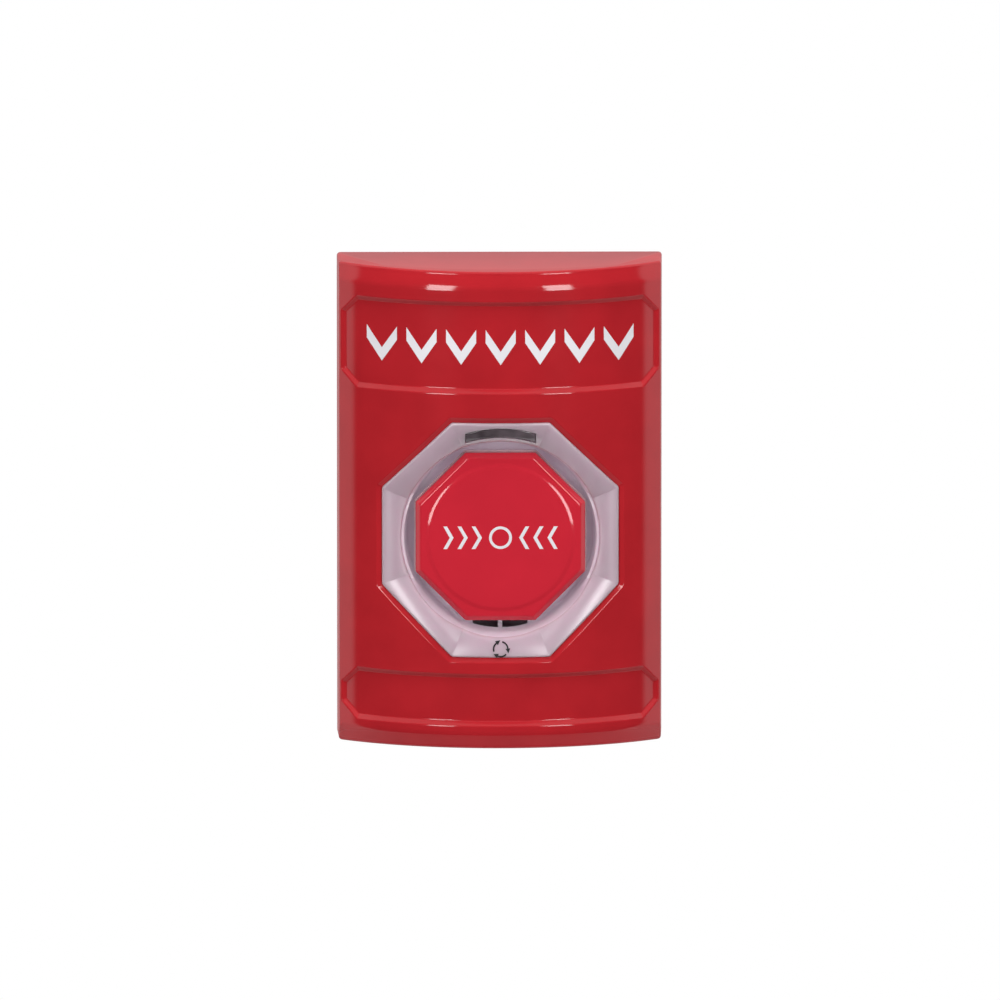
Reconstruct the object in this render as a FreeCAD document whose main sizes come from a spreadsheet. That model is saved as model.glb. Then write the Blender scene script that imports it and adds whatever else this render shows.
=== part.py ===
import FreeCAD, Part
import Sketcher
import math
import os
import re

# Wall-mounted emergency push button station.
# Frame: the origin is on the wall plane at the housing's centre, +Z is up, the front faces -Y.
# Every piece is drawn in a local frame that lies on the wall: x to the right, y up, z out of the wall.

doc = FreeCAD.newDocument("push_button_station")

# Driving sizes in millimetres and degrees
SIZES = {
    # Housing
    "housing_width": 82.6,
    "housing_height": 123.8,
    "side_depth": 14.5,
    "middle_depth": 31.5,
    "shell_wall": 3.0,
    "end_draft": 1.5,
    "side_draft": 1.5,
    "front_chamfer": 0.8,
    "front_chamfer_end": 0.4,
    # Recessed bands across the front: their distance from the housing's ends and sides, and from the collar
    "upper_band_margin": 8.1,
    "lower_band_margin": 6.5,
    "upper_band_clearance": 4.9,
    "lower_band_clearance": 1.6,
    "band_side_margin": 1.7,
    "band_corner_run": 4.0,
    "band_corner_share": 0.31,
    "band_depth": 1.4,
    "band_bevel": 1.0,
    # Octagonal collar, bezel and bowl
    "button_middle": -7.5,
    "rim_rise": 1.5,
    "collar_rise": 0.8,
    "bezel_across": 60.0,
    "bezel_gap": 0.2,
    "collar_wall": 2.2,
    "flange_cover": 1.33,
    "flange_thickness": 1.8,
    "flange_across": 66.0,
    "bezel_wall": 1.6,
    "bezel_lip": 0.4,
    "dish_depth": 1.0,
    "throat_radius": 25.1,
    "bowl_drop": 16.8,
    "bowl_bevel": 1.4,
    "slot_width": 6.4,
    "slot_rib": 1.1,
    "slot_height": 3.6,
    "slot_reach": 3.6,
    "lug_place": 26.0,
    "lug_radius": 4.6,
    "lug_screw_radius": 1.25,
    "lug_screw_head": 1.6,
    "lug_screw_head_radius": 2.5,
    "lug_screw_grip": 3.2,
    "lug_boss_height": 4.0,
    "lug_boss_radius": 3.1,
    # Indicator window
    "window_width": 17.8,
    "window_inner": 26.2,
    "window_outer": 28.6,
    "window_gap": 0.1,
    "window_inset": 0.3,
    "window_depth": 5.6,
    # Button
    "cap_across": 43.0,
    "face_drop": 7.4,
    "cap_height": 3.6,
    "cap_roof": 2.0,
    "cap_wall": 2.0,
    "face_bevel": 1.3,
    "disc_radius": 19.0,
    "disc_rise": 0.7,
    "disc_slope": 1.0,
    "skirt_across": 43.6,
    "skirt_height": 1.1,
    "skirt_lap": 0.6,
    "travel": 4.0,
    "reset_turn": 40.0,
    # Stem, bush, spring and latch
    "stem_radius": 5.0,
    "stem_socket": 1.6,
    "tail_end": 0.4,
    "tail_radius": 4.0,
    "bush_radius": 11.0,
    "bush_head_radius": 13.5,
    "bush_head": 1.8,
    "bush_rear": -2.0,
    "spring_seat": 6.0,
    "spring_bore": 8.2,
    "spring_radius": 6.6,
    "spring_wire": 0.7,
    "spring_turns": 3.0,
    "boss_radius": 8.6,
    "boss_height": 0.8,
    "clip_thickness": 1.0,
    "clip_radius": 7.5,
    "clip_mouth_gap": 0.6,
    "groove_drop": 0.8,
    "latch_place": 3.6,
    "latch_wire": 0.5,
    "latch_gap": 0.15,
    "latch_foot_reach": 0.8,
    "latch_bend_reach": 1.2,
    "pin_radius": 1.0,
    "pin_place": 0.0,
    "pin_play": 14.0,
    "pin_end_gap": 1.0,
    "nut_across": 27.0,
    "nut_thickness": 4.0,
    # Switches and their carrier
    "carrier_thickness": 1.5,
    "carrier_height": 27.0,
    "block_width": 20.0,
    "block_height": 40.0,
    "block_depth": 20.0,
    "block_front": -11.0,
    "block_spacing": 22.0,
    "block_chamfer": 0.8,
    "shelf_height": 9.0,
    "shelf_drop": 6.0,
    "terminal_head": 2.2,
    "terminal_shank": 1.5,
    "terminal_head_height": 1.6,
    "terminal_depth": 5.0,
    "clamp_thickness": 0.8,
    "clamp_width": 7.0,
    "carrier_reach": 13.0,
    "side_screw_drop": 7.0,
    "side_screw_radius": 1.25,
    "side_screw_length": 6.0,
    "side_screw_head": 1.4,
    "side_screw_head_radius": 2.4,
    "plunger_radius": 2.5,
    "plunger_buried": 5.0,
    "plate_thickness": 2.0,
    "plate_play": 1.0,
    "plate_height": 10.0,
    # Lamp board
    "board_thickness": 1.6,
    "board_across": 64.0,
    "board_inner": 27.0,
    "led_size": 2.4,
    "led_height": 1.0,
    "led_place": 29.2,
    "indicator_place": 28.4,
    "indicator_spacing": 8.0,
    "post_radius": 1.2,
    "post_end": 0.6,
    "connector_width": 8.0,
    "connector_height": 5.0,
    "connector_margin": 0.5,
    "connector_wall": 0.7,
    "connector_floor": 1.5,
    # Mounting plate and screws
    "plate_side_gap": 0.8,
    "plate_end_gap": 0.4,
    "steel": 1.5,
    "plate_corner": 2.0,
    "slot_spacing": 83.3,
    "slot_length": 8.0,
    "slot_radius": 2.1,
    "window_half_width": 26.0,
    "window_half_height": 24.0,
    "tab_width": 14.0,
    "tab_height": 12.0,
    "tab_spacing": 44.0,
    "nub_width": 5.0,
    "nub_drop": 1.4,
    "screw_radius": 1.5,
    "screw_head_radius": 2.9,
    "screw_head": 1.6,
    "screw_sink": 0.5,
    "screw_end": 1.5,
    "screw_gap": 0.2,
    "housing_screw_place": 7.5,
    # Gaps between pieces, and how far a cut or a joined solid runs on
    "running_gap": 0.05,
    "clear_gap": 0.3,
    "cut_over": 1.0,
    "overlap": 0.5,
}

sheet = doc.addObject("Spreadsheet::Sheet", "sizes")
for row, (name, number) in enumerate(SIZES.items(), start=1):
    sheet.set(f"A{row}", name)
    sheet.set(f"B{row}", str(number))
    sheet.setAlias(f"B{row}", name)
doc.recompute()

SIZE_NAME = re.compile(r"\b(" + "|".join(sorted(SIZES, key=len, reverse=True)) + r")\b")

# Sizes that follow from the driving ones
BOW = "(middle_depth - side_depth)"
SHOULDER = "(housing_width / 2 - side_depth * tan(side_draft * 1 deg))"
FRONT_RADIUS = f"(({SHOULDER} ^ 2 + {BOW} ^ 2) / (2 * {BOW}))"
FRONT_AXIS = f"(middle_depth - {FRONT_RADIUS})"
RIM_DEPTH = "(middle_depth + rim_rise)"
COLLAR_ACROSS = "(bezel_across + 2 * bezel_gap + 2 * collar_wall)"
UPPER_BAND = ("(housing_height / 2 - upper_band_margin)",
              f"(button_middle + {COLLAR_ACROSS} / 2 + upper_band_clearance)")
LOWER_BAND = (f"(button_middle - {COLLAR_ACROSS} / 2 - lower_band_clearance)",
              "(lower_band_margin - housing_height / 2)")
SEAT_HALF = "(flange_across / 2 + clear_gap)"
FLANGE_FRONT = f"({FRONT_AXIS} + sqrt({FRONT_RADIUS} ^ 2 - {SEAT_HALF} ^ 2) - flange_cover)"
FLANGE_BACK = f"({FLANGE_FRONT} - flange_thickness)"
FACE_DEPTH = f"({RIM_DEPTH} - face_drop)"
BOWL_FLOOR = f"({RIM_DEPTH} - bowl_drop)"
PLATE_WIDTH = "(housing_width - 2 * (shell_wall + plate_side_gap))"
PLATE_TALL = "(housing_height - 2 * (shell_wall + plate_end_gap))"
BOWL_OUTER = "(throat_radius + bezel_wall)"
BOWL_BACK = f"({BOWL_FLOOR} - bezel_wall)"
CAP_BACK = f"({FACE_DEPTH} - cap_height)"
ROOF_BACK = f"({FACE_DEPTH} - cap_roof)"
BOSS_BACK = f"({ROOF_BACK} - boss_height)"
BUSH_FRONT = f"({BOWL_FLOOR} + bush_head)"
CARRIER_FRONT = BOWL_BACK
CARRIER_BACK = f"({CARRIER_FRONT} - carrier_thickness)"
CLIP_FRONT = "(bush_rear - running_gap)"
CLIP_BACK = f"({CLIP_FRONT} - clip_thickness)"
PLATE_FRONT = f"({CLIP_BACK} - plate_play)"
PLATE_BACK = f"({PLATE_FRONT} - plate_thickness)"
BLOCK_BACK = "(block_front - block_depth)"
SHELF = f"({BLOCK_BACK} + shelf_drop)"
ARM_INNER = "(block_spacing / 2 + block_width / 2)"
BOARD_FRONT = f"({FLANGE_BACK} - led_height)"
BOARD_BACK = f"({BOARD_FRONT} - board_thickness)"
STEM_TOP = f"({BOSS_BACK} + stem_socket)"
ARM_BACK = "(block_front - carrier_reach)"
SIDE_SCREW = "(block_front - side_screw_drop)"


def bound(text):
    """Points each size name in an expression at the sheet."""
    return SIZE_NAME.sub(r"sizes.\1", text)


def worth(text):
    return float(sheet.evalExpression(text))


def tie(thing, prop, text):
    thing.setExpression(prop, bound(text))


# Bodies and sketches

EXPORTED = []


def new_piece(label, x="0", y="button_middle"):
    """A body that is written out, its own frame laid on the wall with its axis through x, y."""
    body = doc.addObject("PartDesign::Body", label)
    body.Label = label
    body.Placement.Rotation = FreeCAD.Rotation(FreeCAD.Vector(1, 0, 0), 90)
    tie(body, "Placement.Base.x", x)
    tie(body, "Placement.Base.z", y)
    EXPORTED.append(body)
    return body


def new_sketch(body, role="XY_Plane", away="0"):
    """A sketch on one of the body's own origin planes, moved away from it along its normal."""
    sketch = body.newObject("Sketcher::SketchObject", "sketch")
    plane = [feature for feature in body.Origin.OriginFeatures if feature.Role == role][0]
    sketch.AttachmentSupport = [(plane, "")]
    sketch.MapMode = "FlatFace"
    tie(sketch, "AttachmentOffset.Base.z", away)
    return sketch


def pin_point(sketch, edge, end, x, y):
    """Ties one end of an edge to the place x, y."""
    for kind, text, axis in (("DistanceX", x, -2), ("DistanceY", y, -1)):
        if text == "0":
            sketch.addConstraint(Sketcher.Constraint("PointOnObject", edge, end, axis))
        else:
            number = sketch.addConstraint(Sketcher.Constraint(kind, -1, 1, edge, end, worth(text)))
            tie(sketch, f"Constraints[{number}]", text)


def arc_between(start, end, radius):
    """The short arc that runs anticlockwise from start to end."""
    half = (end - start) / 2
    reach = math.sqrt(max(radius ** 2 - half.Length ** 2, 0))
    left = FreeCAD.Vector(-half.y, half.x, 0).normalize()
    centre = start + half + left * reach
    first = math.atan2(start.y - centre.y, start.x - centre.x)
    last = math.atan2(end.y - centre.y, end.x - centre.x)
    circle = Part.Circle(centre, FreeCAD.Vector(0, 0, 1), radius)
    return Part.ArcOfCircle(circle, first, last if last > first else last + 2 * math.pi)


def outline(sketch, corners, outward=None, inward=None):
    """Closed outline, anticlockwise through corners; an edge's number may have a radius to bow by."""
    outward = outward or {}
    inward = inward or {}
    points = [FreeCAD.Vector(worth(x), worth(y), 0) for x, y in corners]
    count = len(points)
    edges = []
    for number in range(count):
        start = points[number]
        end = points[(number + 1) % count]
        if number in outward:
            edge = sketch.addGeometry(arc_between(start, end, worth(outward[number])))
            edges.append((edge, 1, 2))
        elif number in inward:
            edge = sketch.addGeometry(arc_between(end, start, worth(inward[number])))
            edges.append((edge, 2, 1))
        else:
            edge = sketch.addGeometry(Part.LineSegment(start, end))
            edges.append((edge, 1, 2))
    for number in range(count):
        edge, start, end = edges[number]
        following, following_start, _ = edges[(number + 1) % count]
        sketch.addConstraint(Sketcher.Constraint("Coincident", edge, end, following, following_start))
        pin_point(sketch, edge, start, *corners[number])
        radius = outward.get(number) or inward.get(number)
        if radius:
            place = sketch.addConstraint(Sketcher.Constraint("Radius", edge, worth(radius)))
            tie(sketch, f"Constraints[{place}]", radius)


def ring(sketch, radius, x="0", y="0"):
    circle = Part.Circle(FreeCAD.Vector(worth(x), worth(y), 0), FreeCAD.Vector(0, 0, 1), worth(radius))
    edge = sketch.addGeometry(circle)
    pin_point(sketch, edge, 3, x, y)
    number = sketch.addConstraint(Sketcher.Constraint("Radius", edge, worth(radius)))
    tie(sketch, f"Constraints[{number}]", radius)


def box_corners(low_x, low_y, high_x, high_y):
    return [(low_x, low_y), (high_x, low_y), (high_x, high_y), (low_x, high_y)]


def octagon_corners(across, middle="0"):
    """Corners of a regular octagon with a flat at the top."""
    flat = f"(({across}) / 2)"
    corner = f"({flat} * tan(22.5 deg))"
    signs = [(1, -1, 0), (1, 1, 0), (1, 1, 1), (-1, 1, 1), (-1, 1, 0), (-1, -1, 0), (-1, -1, 1), (1, -1, 1)]
    corners = []
    for sign_x, sign_y, steep in signs:
        wide, tall = (corner, flat) if steep else (flat, corner)
        corners.append((f"{sign_x} * {wide}", f"{middle} + {sign_y} * {tall}"))
    return corners


def hexagon_corners(across, x="0", y="0"):
    """Corners of a regular hexagon about x, y with a point at the top."""
    corners = []
    for number in range(6):
        angle = f"({60 * number} - 30) * 1 deg"
        reach = f"(({across}) / 2 / cos(30 deg))"
        corners.append((f"{x} + {reach} * cos({angle})", f"{y} + {reach} * sin({angle})"))
    return corners


# Features

TOUCH = 0.01


def pad(body, sketch, length, taper=None, inward=False):
    feature = body.newObject("PartDesign::Pad", "pad")
    feature.Profile = sketch
    feature.Reversed = inward
    tie(feature, "Length", length)
    if taper:
        tie(feature, "TaperAngle", taper)
    sketch.Visibility = False
    return feature


def pocket(body, sketch, length, forward=False):
    """Cuts against the sketch's normal, or along it where forward is true."""
    feature = body.newObject("PartDesign::Pocket", "pocket")
    feature.Profile = sketch
    feature.Reversed = forward
    tie(feature, "Length", length)
    return feature


def turned(body, sketch, kind="Revolution"):
    """Turns a half section about the body's z axis, to add it or, as a Groove, to cut it."""
    feature = body.newObject(f"PartDesign::{kind}", kind.lower())
    feature.Profile = sketch
    feature.ReferenceAxis = (sketch, ["V_Axis"])
    feature.Angle = 360
    return feature


def half_section(body, corners, kind="Revolution", outward=None, inward=None):
    sketch = new_sketch(body, "XZ_Plane")
    outline(sketch, corners, outward, inward)
    return turned(body, sketch, kind)


def prism(body, corners, back, front, taper=None):
    """Adds a straight block between two depths."""
    sketch = new_sketch(body, away=back)
    outline(sketch, corners)
    return pad(body, sketch, f"{front} - ({back})", taper)


def disc(body, radius, back, front, places=(("0", "0"),)):
    sketch = new_sketch(body, away=back)
    for x, y in places:
        ring(sketch, radius, x, y)
    return pad(body, sketch, f"{front} - ({back})")


def bore(body, radius, back, front, places=(("0", "0"),)):
    """Cuts a round hole between two depths."""
    sketch = new_sketch(body, away=front)
    for x, y in places:
        ring(sketch, radius, x, y)
    return pocket(body, sketch, f"{front} - ({back})")


def block_cut(body, corners, back, front):
    sketch = new_sketch(body, away=front)
    outline(sketch, corners)
    return pocket(body, sketch, f"{front} - ({back})")


def edges_where(feature, wanted):
    """Names of the feature's edges that pass the test."""
    doc.recompute()
    return [f"Edge{number}" for number, edge in enumerate(feature.Shape.Edges, start=1) if wanted(edge)]


def edges_above(feature, depth):
    """Names of the edges that lie at or in front of a depth."""
    least = worth(depth) - TOUCH
    return edges_where(feature, lambda edge: edge.BoundBox.ZMin > least)


def upright_edges(feature, length):
    """Names of the edges that run from back to front over the whole length."""
    least = worth(length) - TOUCH
    return edges_where(feature, lambda edge: edge.BoundBox.ZLength > least)


def dress(body, feature, kind, names, size):
    """Rounds or chamfers the named edges of the feature."""
    dressed = body.newObject(f"PartDesign::{kind}", kind.lower())
    dressed.Base = (feature, names)
    tie(dressed, "Radius" if kind == "Fillet" else "Size", size)
    return dressed


# Housing shell

FAR = "(2 * middle_depth)"


def across_cut(body, corners, half_width):
    """Cuts an outline that is drawn from the side, as y and z, through x from -half_width to half_width."""
    sketch = new_sketch(body, "YZ_Plane", f"-({half_width})")
    outline(sketch, corners)
    return pocket(body, sketch, f"2 * ({half_width})", forward=True)


def plan_prism(body, inset, back, half_height, kind):
    """Adds or cuts the bowed section of the housing over its height."""
    foot = f"(housing_width / 2 - {inset})"
    shoulder = f"({SHOULDER} - {inset})"
    radius = f"({FRONT_RADIUS} - {inset})"
    rise = f"({FRONT_AXIS} + sqrt({radius} ^ 2 - {shoulder} ^ 2))"
    sketch = new_sketch(body, "XZ_Plane", f"-({half_height})")
    corners = [(f"-{foot}", back), (foot, back), (shoulder, rise), (f"-{shoulder}", rise)]
    outline(sketch, corners, outward={2: radius})
    if kind == "Pad":
        return pad(body, sketch, f"2 * ({half_height})")
    return pocket(body, sketch, f"2 * ({half_height})", forward=True)


def crown_cut(body, rise, half_height):
    """Cuts away what stands further than rise in front of the housing's bowed front."""
    half = f"({COLLAR_ACROSS} / 2 + cut_over)"
    radius = f"({FRONT_RADIUS} + {rise})"
    low = f"({FRONT_AXIS} + sqrt({radius} ^ 2 - {half} ^ 2))"
    high = f"({RIM_DEPTH} + cut_over)"
    sketch = new_sketch(body, "XZ_Plane", f"-({half_height})")
    outline(sketch, [(f"-{half}", low), (half, low), (half, high), (f"-{half}", high)], inward={0: radius})
    return pocket(body, sketch, f"2 * ({half_height})", forward=True)


def sunk_block(name, corners, depth):
    """What a recess in the bowed front takes away: a block less the core that the recess's floor follows."""
    block = doc.addObject("PartDesign::Body", name)
    prism(block, corners, "0", f"({RIM_DEPTH} + cut_over)")
    plan_prism(block, depth, "-cut_over", "housing_height / 2 + cut_over", "Pocket")
    return block


def band_block(name, top, bottom):
    """What a recessed band takes away."""
    reach = "(housing_width / 2 - band_side_margin)"
    run = "band_corner_run"
    rise = f"(({LOWER_BAND[0]} - {LOWER_BAND[1]}) * band_corner_share)"
    high = f"({top} - band_bevel)"
    low = f"({bottom} + band_bevel)"
    corners = [(f"-({reach} - {run})", low), (f"{reach} - {run}", low), (reach, f"{low} + {rise}"),
               (reach, f"{high} - {rise}"), (f"{reach} - {run}", high), (f"-({reach} - {run})", high),
               (f"-{reach}", f"{high} - {rise}"), (f"-{reach}", f"{low} + {rise}")]
    return sunk_block(name, corners, "band_depth")


def cut_with(body, block):
    cut = body.newObject("PartDesign::Boolean", "cut")
    cut.setObjects([block])
    cut.Type = "Cut"
    return cut


def on_front(x, y, z):
    """True where a point lies on the housing's bowed front surface."""
    axis = worth(FRONT_AXIS)
    return abs(math.hypot(x, z - axis) - worth(FRONT_RADIUS)) < TOUCH


def is_band_rim(edge, top, bottom):
    """True for an edge where a band's wall meets the front surface."""
    for parameter in (0.02, 0.5, 0.98):
        span = edge.LastParameter - edge.FirstParameter
        point = edge.valueAt(edge.FirstParameter + span * parameter)
        if not (on_front(point.x, point.y, point.z) and bottom < point.y < top):
            return False
    return True


def is_front_end(edge):
    """True for the two bowed edges where the front meets the top and the bottom."""
    box = edge.BoundBox
    wide = worth(SHOULDER)
    deep = worth(BOW) / 2
    reach = worth("housing_height / 2 - middle_depth * tan(end_draft * 1 deg) - front_chamfer") + TOUCH
    return box.XLength > wide and box.ZLength > deep and (box.YMin > reach or box.YMax < -reach)


def housing_shell():
    shell = new_piece("housing_shell", y="0")
    half = "(housing_height / 2)"
    plan_prism(shell, "0", "0", half, "Pad")
    drop = f"{FAR} * tan(end_draft * 1 deg)"
    over = f"({half} + cut_over)"
    across_cut(shell, [(half, "0"), (over, FAR), (f"{half} - {drop}", FAR)], "housing_width")
    lower = [(f"-{half}", "0"), (f"-({half} - {drop})", FAR), (f"-{over}", FAR)]
    form = across_cut(shell, lower, "housing_width")
    form = dress(shell, form, "Chamfer", edges_where(form, is_front_end), "front_chamfer")
    form = dress(shell, form, "Chamfer", edges_where(form, is_front_end), "front_chamfer_end")
    bands = {"upper_band": UPPER_BAND, "lower_band": LOWER_BAND}
    for name, (top, bottom) in bands.items():
        form = cut_with(shell, band_block(name, top, bottom))
    rims = []
    for top, bottom in bands.values():
        high = worth(top)
        low = worth(bottom)
        rims += edges_where(form, lambda edge: is_band_rim(edge, high, low))
    dress(shell, form, "Chamfer", rims, "band_bevel")
    plan_prism(shell, "shell_wall", "-cut_over", f"{half} - shell_wall", "Pocket")
    collar(shell)
    return shell


def collar(shell):
    """The low octagonal ridge that follows the bowed front, its hole, the bezel's seat and two bosses."""
    prism(shell, octagon_corners(COLLAR_ACROSS, "button_middle"), FLANGE_FRONT, RIM_DEPTH)
    crown_cut(shell, "collar_rise", "housing_height / 2")
    hole = octagon_corners("(bezel_across + 2 * bezel_gap)", "button_middle")
    block_cut(shell, hole, f"{FLANGE_FRONT} - cut_over", f"{RIM_DEPTH} + cut_over")
    seat = "(flange_across + 2 * clear_gap)"
    block_cut(shell, octagon_corners(seat, "button_middle"), BOARD_BACK, FLANGE_FRONT)
    places = lug_places("button_middle")
    disc(shell, "lug_boss_radius", FLANGE_FRONT, f"{FLANGE_FRONT} + lug_boss_height", places)
    bore(shell, "lug_screw_radius", FLANGE_FRONT, f"{FLANGE_FRONT} + lug_screw_grip + running_gap", places)
    screw_seats(shell)


def screw_seats(shell):
    """Stepped screw holes in the bottom wall, and the nubs that snap into the plate's upper tabs."""
    places = [(f"{sign} * tab_spacing / 2", "housing_screw_place") for sign in (-1, 1)]
    steps = [("screw_radius + screw_gap", "shell_wall + cut_over"),
             ("screw_head_radius + screw_gap", "screw_head + screw_sink")]
    for radius, reach in steps:
        sketch = new_sketch(shell, "XZ_Plane", "housing_height / 2")
        for x, y in places:
            ring(sketch, radius, x, y)
        pocket(shell, sketch, reach)
    ceiling = "(housing_height / 2 - shell_wall)"
    for sign in (-1, 1):
        middle = f"({sign} * tab_spacing / 2)"
        corners = box_corners(f"{middle} - nub_width / 2", f"{ceiling} - nub_drop",
                              f"{middle} + nub_width / 2", f"{ceiling} + overlap")
        prism(shell, corners, "housing_screw_place - nub_width / 4", "housing_screw_place + nub_width / 4")


def lug_places(middle="0"):
    """The bezel's two screws, on one diagonal of the octagon."""
    return [("-lug_place", f"{middle} + lug_place"), ("lug_place", f"{middle} - lug_place")]


# Bezel

LIP_ACROSS = "(bezel_across - 2 * bezel_lip)"
POSTS = [("led_place", "0"), ("-led_place", "0")]


def window_outline(grow):
    """The indicator window: a bar between two arcs about the button's axis."""
    half = f"(window_width / 2 + {grow})"
    inner = f"(window_inner - {grow})"
    outer = f"(window_outer + {grow})"
    low = f"sqrt({inner} ^ 2 - {half} ^ 2)"
    high = f"sqrt({outer} ^ 2 - {half} ^ 2)"
    corners = [(f"-{half}", low), (half, low), (half, high), (f"-{half}", high)]
    return corners, {2: outer}, {0: inner}


def bezel_cavity():
    """The hollow round the bowl, closed by a front wall that follows the bowed front."""
    block = doc.addObject("PartDesign::Body", "bezel_cavity")
    sketch = new_sketch(block, away=f"({FLANGE_BACK} - cut_over)")
    outline(sketch, octagon_corners("bezel_across - 2 * bezel_wall"))
    ring(sketch, BOWL_OUTER)
    pad(block, sketch, f"{RIM_DEPTH} - {FLANGE_BACK}")
    crown_cut(block, "(0 - dish_depth - bezel_wall)", "flange_across")
    return block


def bezel():
    """White translucent moulding: dished octagonal front, round bowl, flange, lugs and the board's posts."""
    piece = new_piece("bezel")
    prism(piece, octagon_corners("bezel_across"), FLANGE_BACK, RIM_DEPTH)
    prism(piece, octagon_corners("flange_across"), FLANGE_BACK, FLANGE_FRONT)
    disc(piece, "lug_radius", FLANGE_BACK, FLANGE_FRONT, lug_places())
    disc(piece, BOWL_OUTER, BOWL_BACK, FLANGE_FRONT)
    disc(piece, "post_radius", f"({BOARD_BACK} - post_end)", FLANGE_BACK, POSTS)
    crown_cut(piece, "0", "flange_across")
    cut_with(piece, bezel_cavity())
    cut_with(piece, sunk_block("bezel_dish", octagon_corners(LIP_ACROSS), "dish_depth"))
    half_section(piece, [("0", BOWL_FLOOR), ("throat_radius - bowl_bevel", BOWL_FLOOR),
                         ("throat_radius", f"{BOWL_FLOOR} + bowl_bevel"), ("throat_radius", RIM_DEPTH),
                         ("0", RIM_DEPTH)], "Groove")
    bore(piece, "bush_radius + running_gap", f"({BOWL_BACK} - cut_over)", f"{BOWL_FLOOR} + cut_over")
    bore(piece, "lug_screw_radius + screw_gap", FLANGE_BACK, FLANGE_FRONT, lug_places())
    for sign in (-1, 1):
        near = "slot_rib / 2"
        far = "(slot_rib / 2 + slot_width)"
        left, right = (near, far) if sign > 0 else (f"-{far}", f"-({near})")
        corners = box_corners(left, f"-({BOWL_OUTER} + cut_over)", right, "-(throat_radius - slot_reach)")
        block_cut(piece, corners, f"({BOWL_BACK} - cut_over)", f"{BOWL_FLOOR} + slot_height")
    recess = new_sketch(piece, away=RIM_DEPTH)
    outline(recess, *window_outline("window_gap"))
    pocket(piece, recess, "window_depth")
    return piece


def indicator_lens():
    """Smoked window whose front follows the bezel's dish, a little below it."""
    piece = new_piece("indicator_lens")
    back = f"({RIM_DEPTH} - window_depth)"
    sketch = new_sketch(piece, away=back)
    outline(sketch, *window_outline("0"))
    pad(piece, sketch, "window_depth")
    crown_cut(piece, "(0 - dish_depth - window_inset)", "flange_across")
    return piece


# Button

def button_cap():
    """Hollow octagonal cap with bevelled edges, a raised round face and a socket for the stem."""
    piece = new_piece("button_cap")
    form = prism(piece, octagon_corners("cap_across"), CAP_BACK, FACE_DEPTH)
    dress(piece, form, "Chamfer", edges_above(form, FACE_DEPTH), "face_bevel")
    top = f"({FACE_DEPTH} + disc_rise)"
    disc_top = "(disc_radius - disc_slope)"
    under = f"({FACE_DEPTH} - overlap)"
    half_section(piece, [("0", under), ("disc_radius", under), ("disc_radius", FACE_DEPTH),
                         (disc_top, top), ("0", top)])
    block_cut(piece, octagon_corners("cap_across - 2 * cap_wall"), CAP_BACK, ROOF_BACK)
    prism(piece, octagon_corners("2 * boss_radius"), BOSS_BACK, f"({ROOF_BACK} + overlap)")
    bore(piece, "stem_radius + running_gap", BOSS_BACK, STEM_TOP)
    return piece


def button_skirt():
    """Clear octagonal light ring behind the cap."""
    piece = new_piece("button_skirt")
    back = f"({CAP_BACK} - skirt_height)"
    sketch = new_sketch(piece, away=back)
    outline(sketch, octagon_corners("skirt_across"))
    outline(sketch, octagon_corners("cap_across - 2 * (cap_wall + skirt_lap)"))
    pad(piece, sketch, "skirt_height")
    return piece


def button_stem():
    """Turned stem with grooves for its clip and the latch, a thin tail and a cross hole for the stop pin."""
    piece = new_piece("button_stem")
    neck = "(stem_radius - groove_drop)"
    latch_low = "(latch_place + travel - latch_wire - latch_gap)"
    latch_high = "(latch_place + travel + latch_wire + latch_gap)"
    tail = f"({PLATE_BACK} - tail_end)"
    full = "stem_radius"
    corners = [("0", tail), ("tail_radius", tail), ("tail_radius", PLATE_FRONT), (full, PLATE_FRONT),
               (full, CLIP_BACK), (neck, CLIP_BACK), (neck, CLIP_FRONT), (full, CLIP_FRONT),
               (full, latch_low), (neck, latch_low), (neck, latch_high), (full, latch_high),
               (full, STEM_TOP), ("0", STEM_TOP)]
    half_section(piece, corners)
    sketch = new_sketch(piece, "YZ_Plane", "-(stem_radius + cut_over)")
    ring(sketch, "pin_radius", "0", "pin_place")
    pocket(piece, sketch, "2 * (stem_radius + cut_over)", forward=True)
    return piece


def stop_pin():
    """Cross pin through the stem that stops its turn in the bush's rear slots."""
    piece = new_piece("stop_pin")
    reach = "(bush_radius - pin_end_gap)"
    sketch = new_sketch(piece, "YZ_Plane", f"-{reach}")
    ring(sketch, "pin_radius", "0", "pin_place")
    pad(piece, sketch, f"2 * {reach}")
    return piece


def stem_clip():
    """Open retaining ring that sits in the stem's groove behind the bush."""
    piece = new_piece("stem_clip")
    disc(piece, "clip_radius", CLIP_BACK, CLIP_FRONT)
    back = f"({CLIP_BACK} - cut_over)"
    front = f"({CLIP_FRONT} + cut_over)"
    bore(piece, "stem_radius - groove_drop", back, front)
    mouth = "(stem_radius - groove_drop - clip_mouth_gap)"
    block_cut(piece, box_corners(f"-{mouth}", "-clip_radius - cut_over", mouth, "0"), back, front)
    return piece


# Bush, spring and latch

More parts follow.
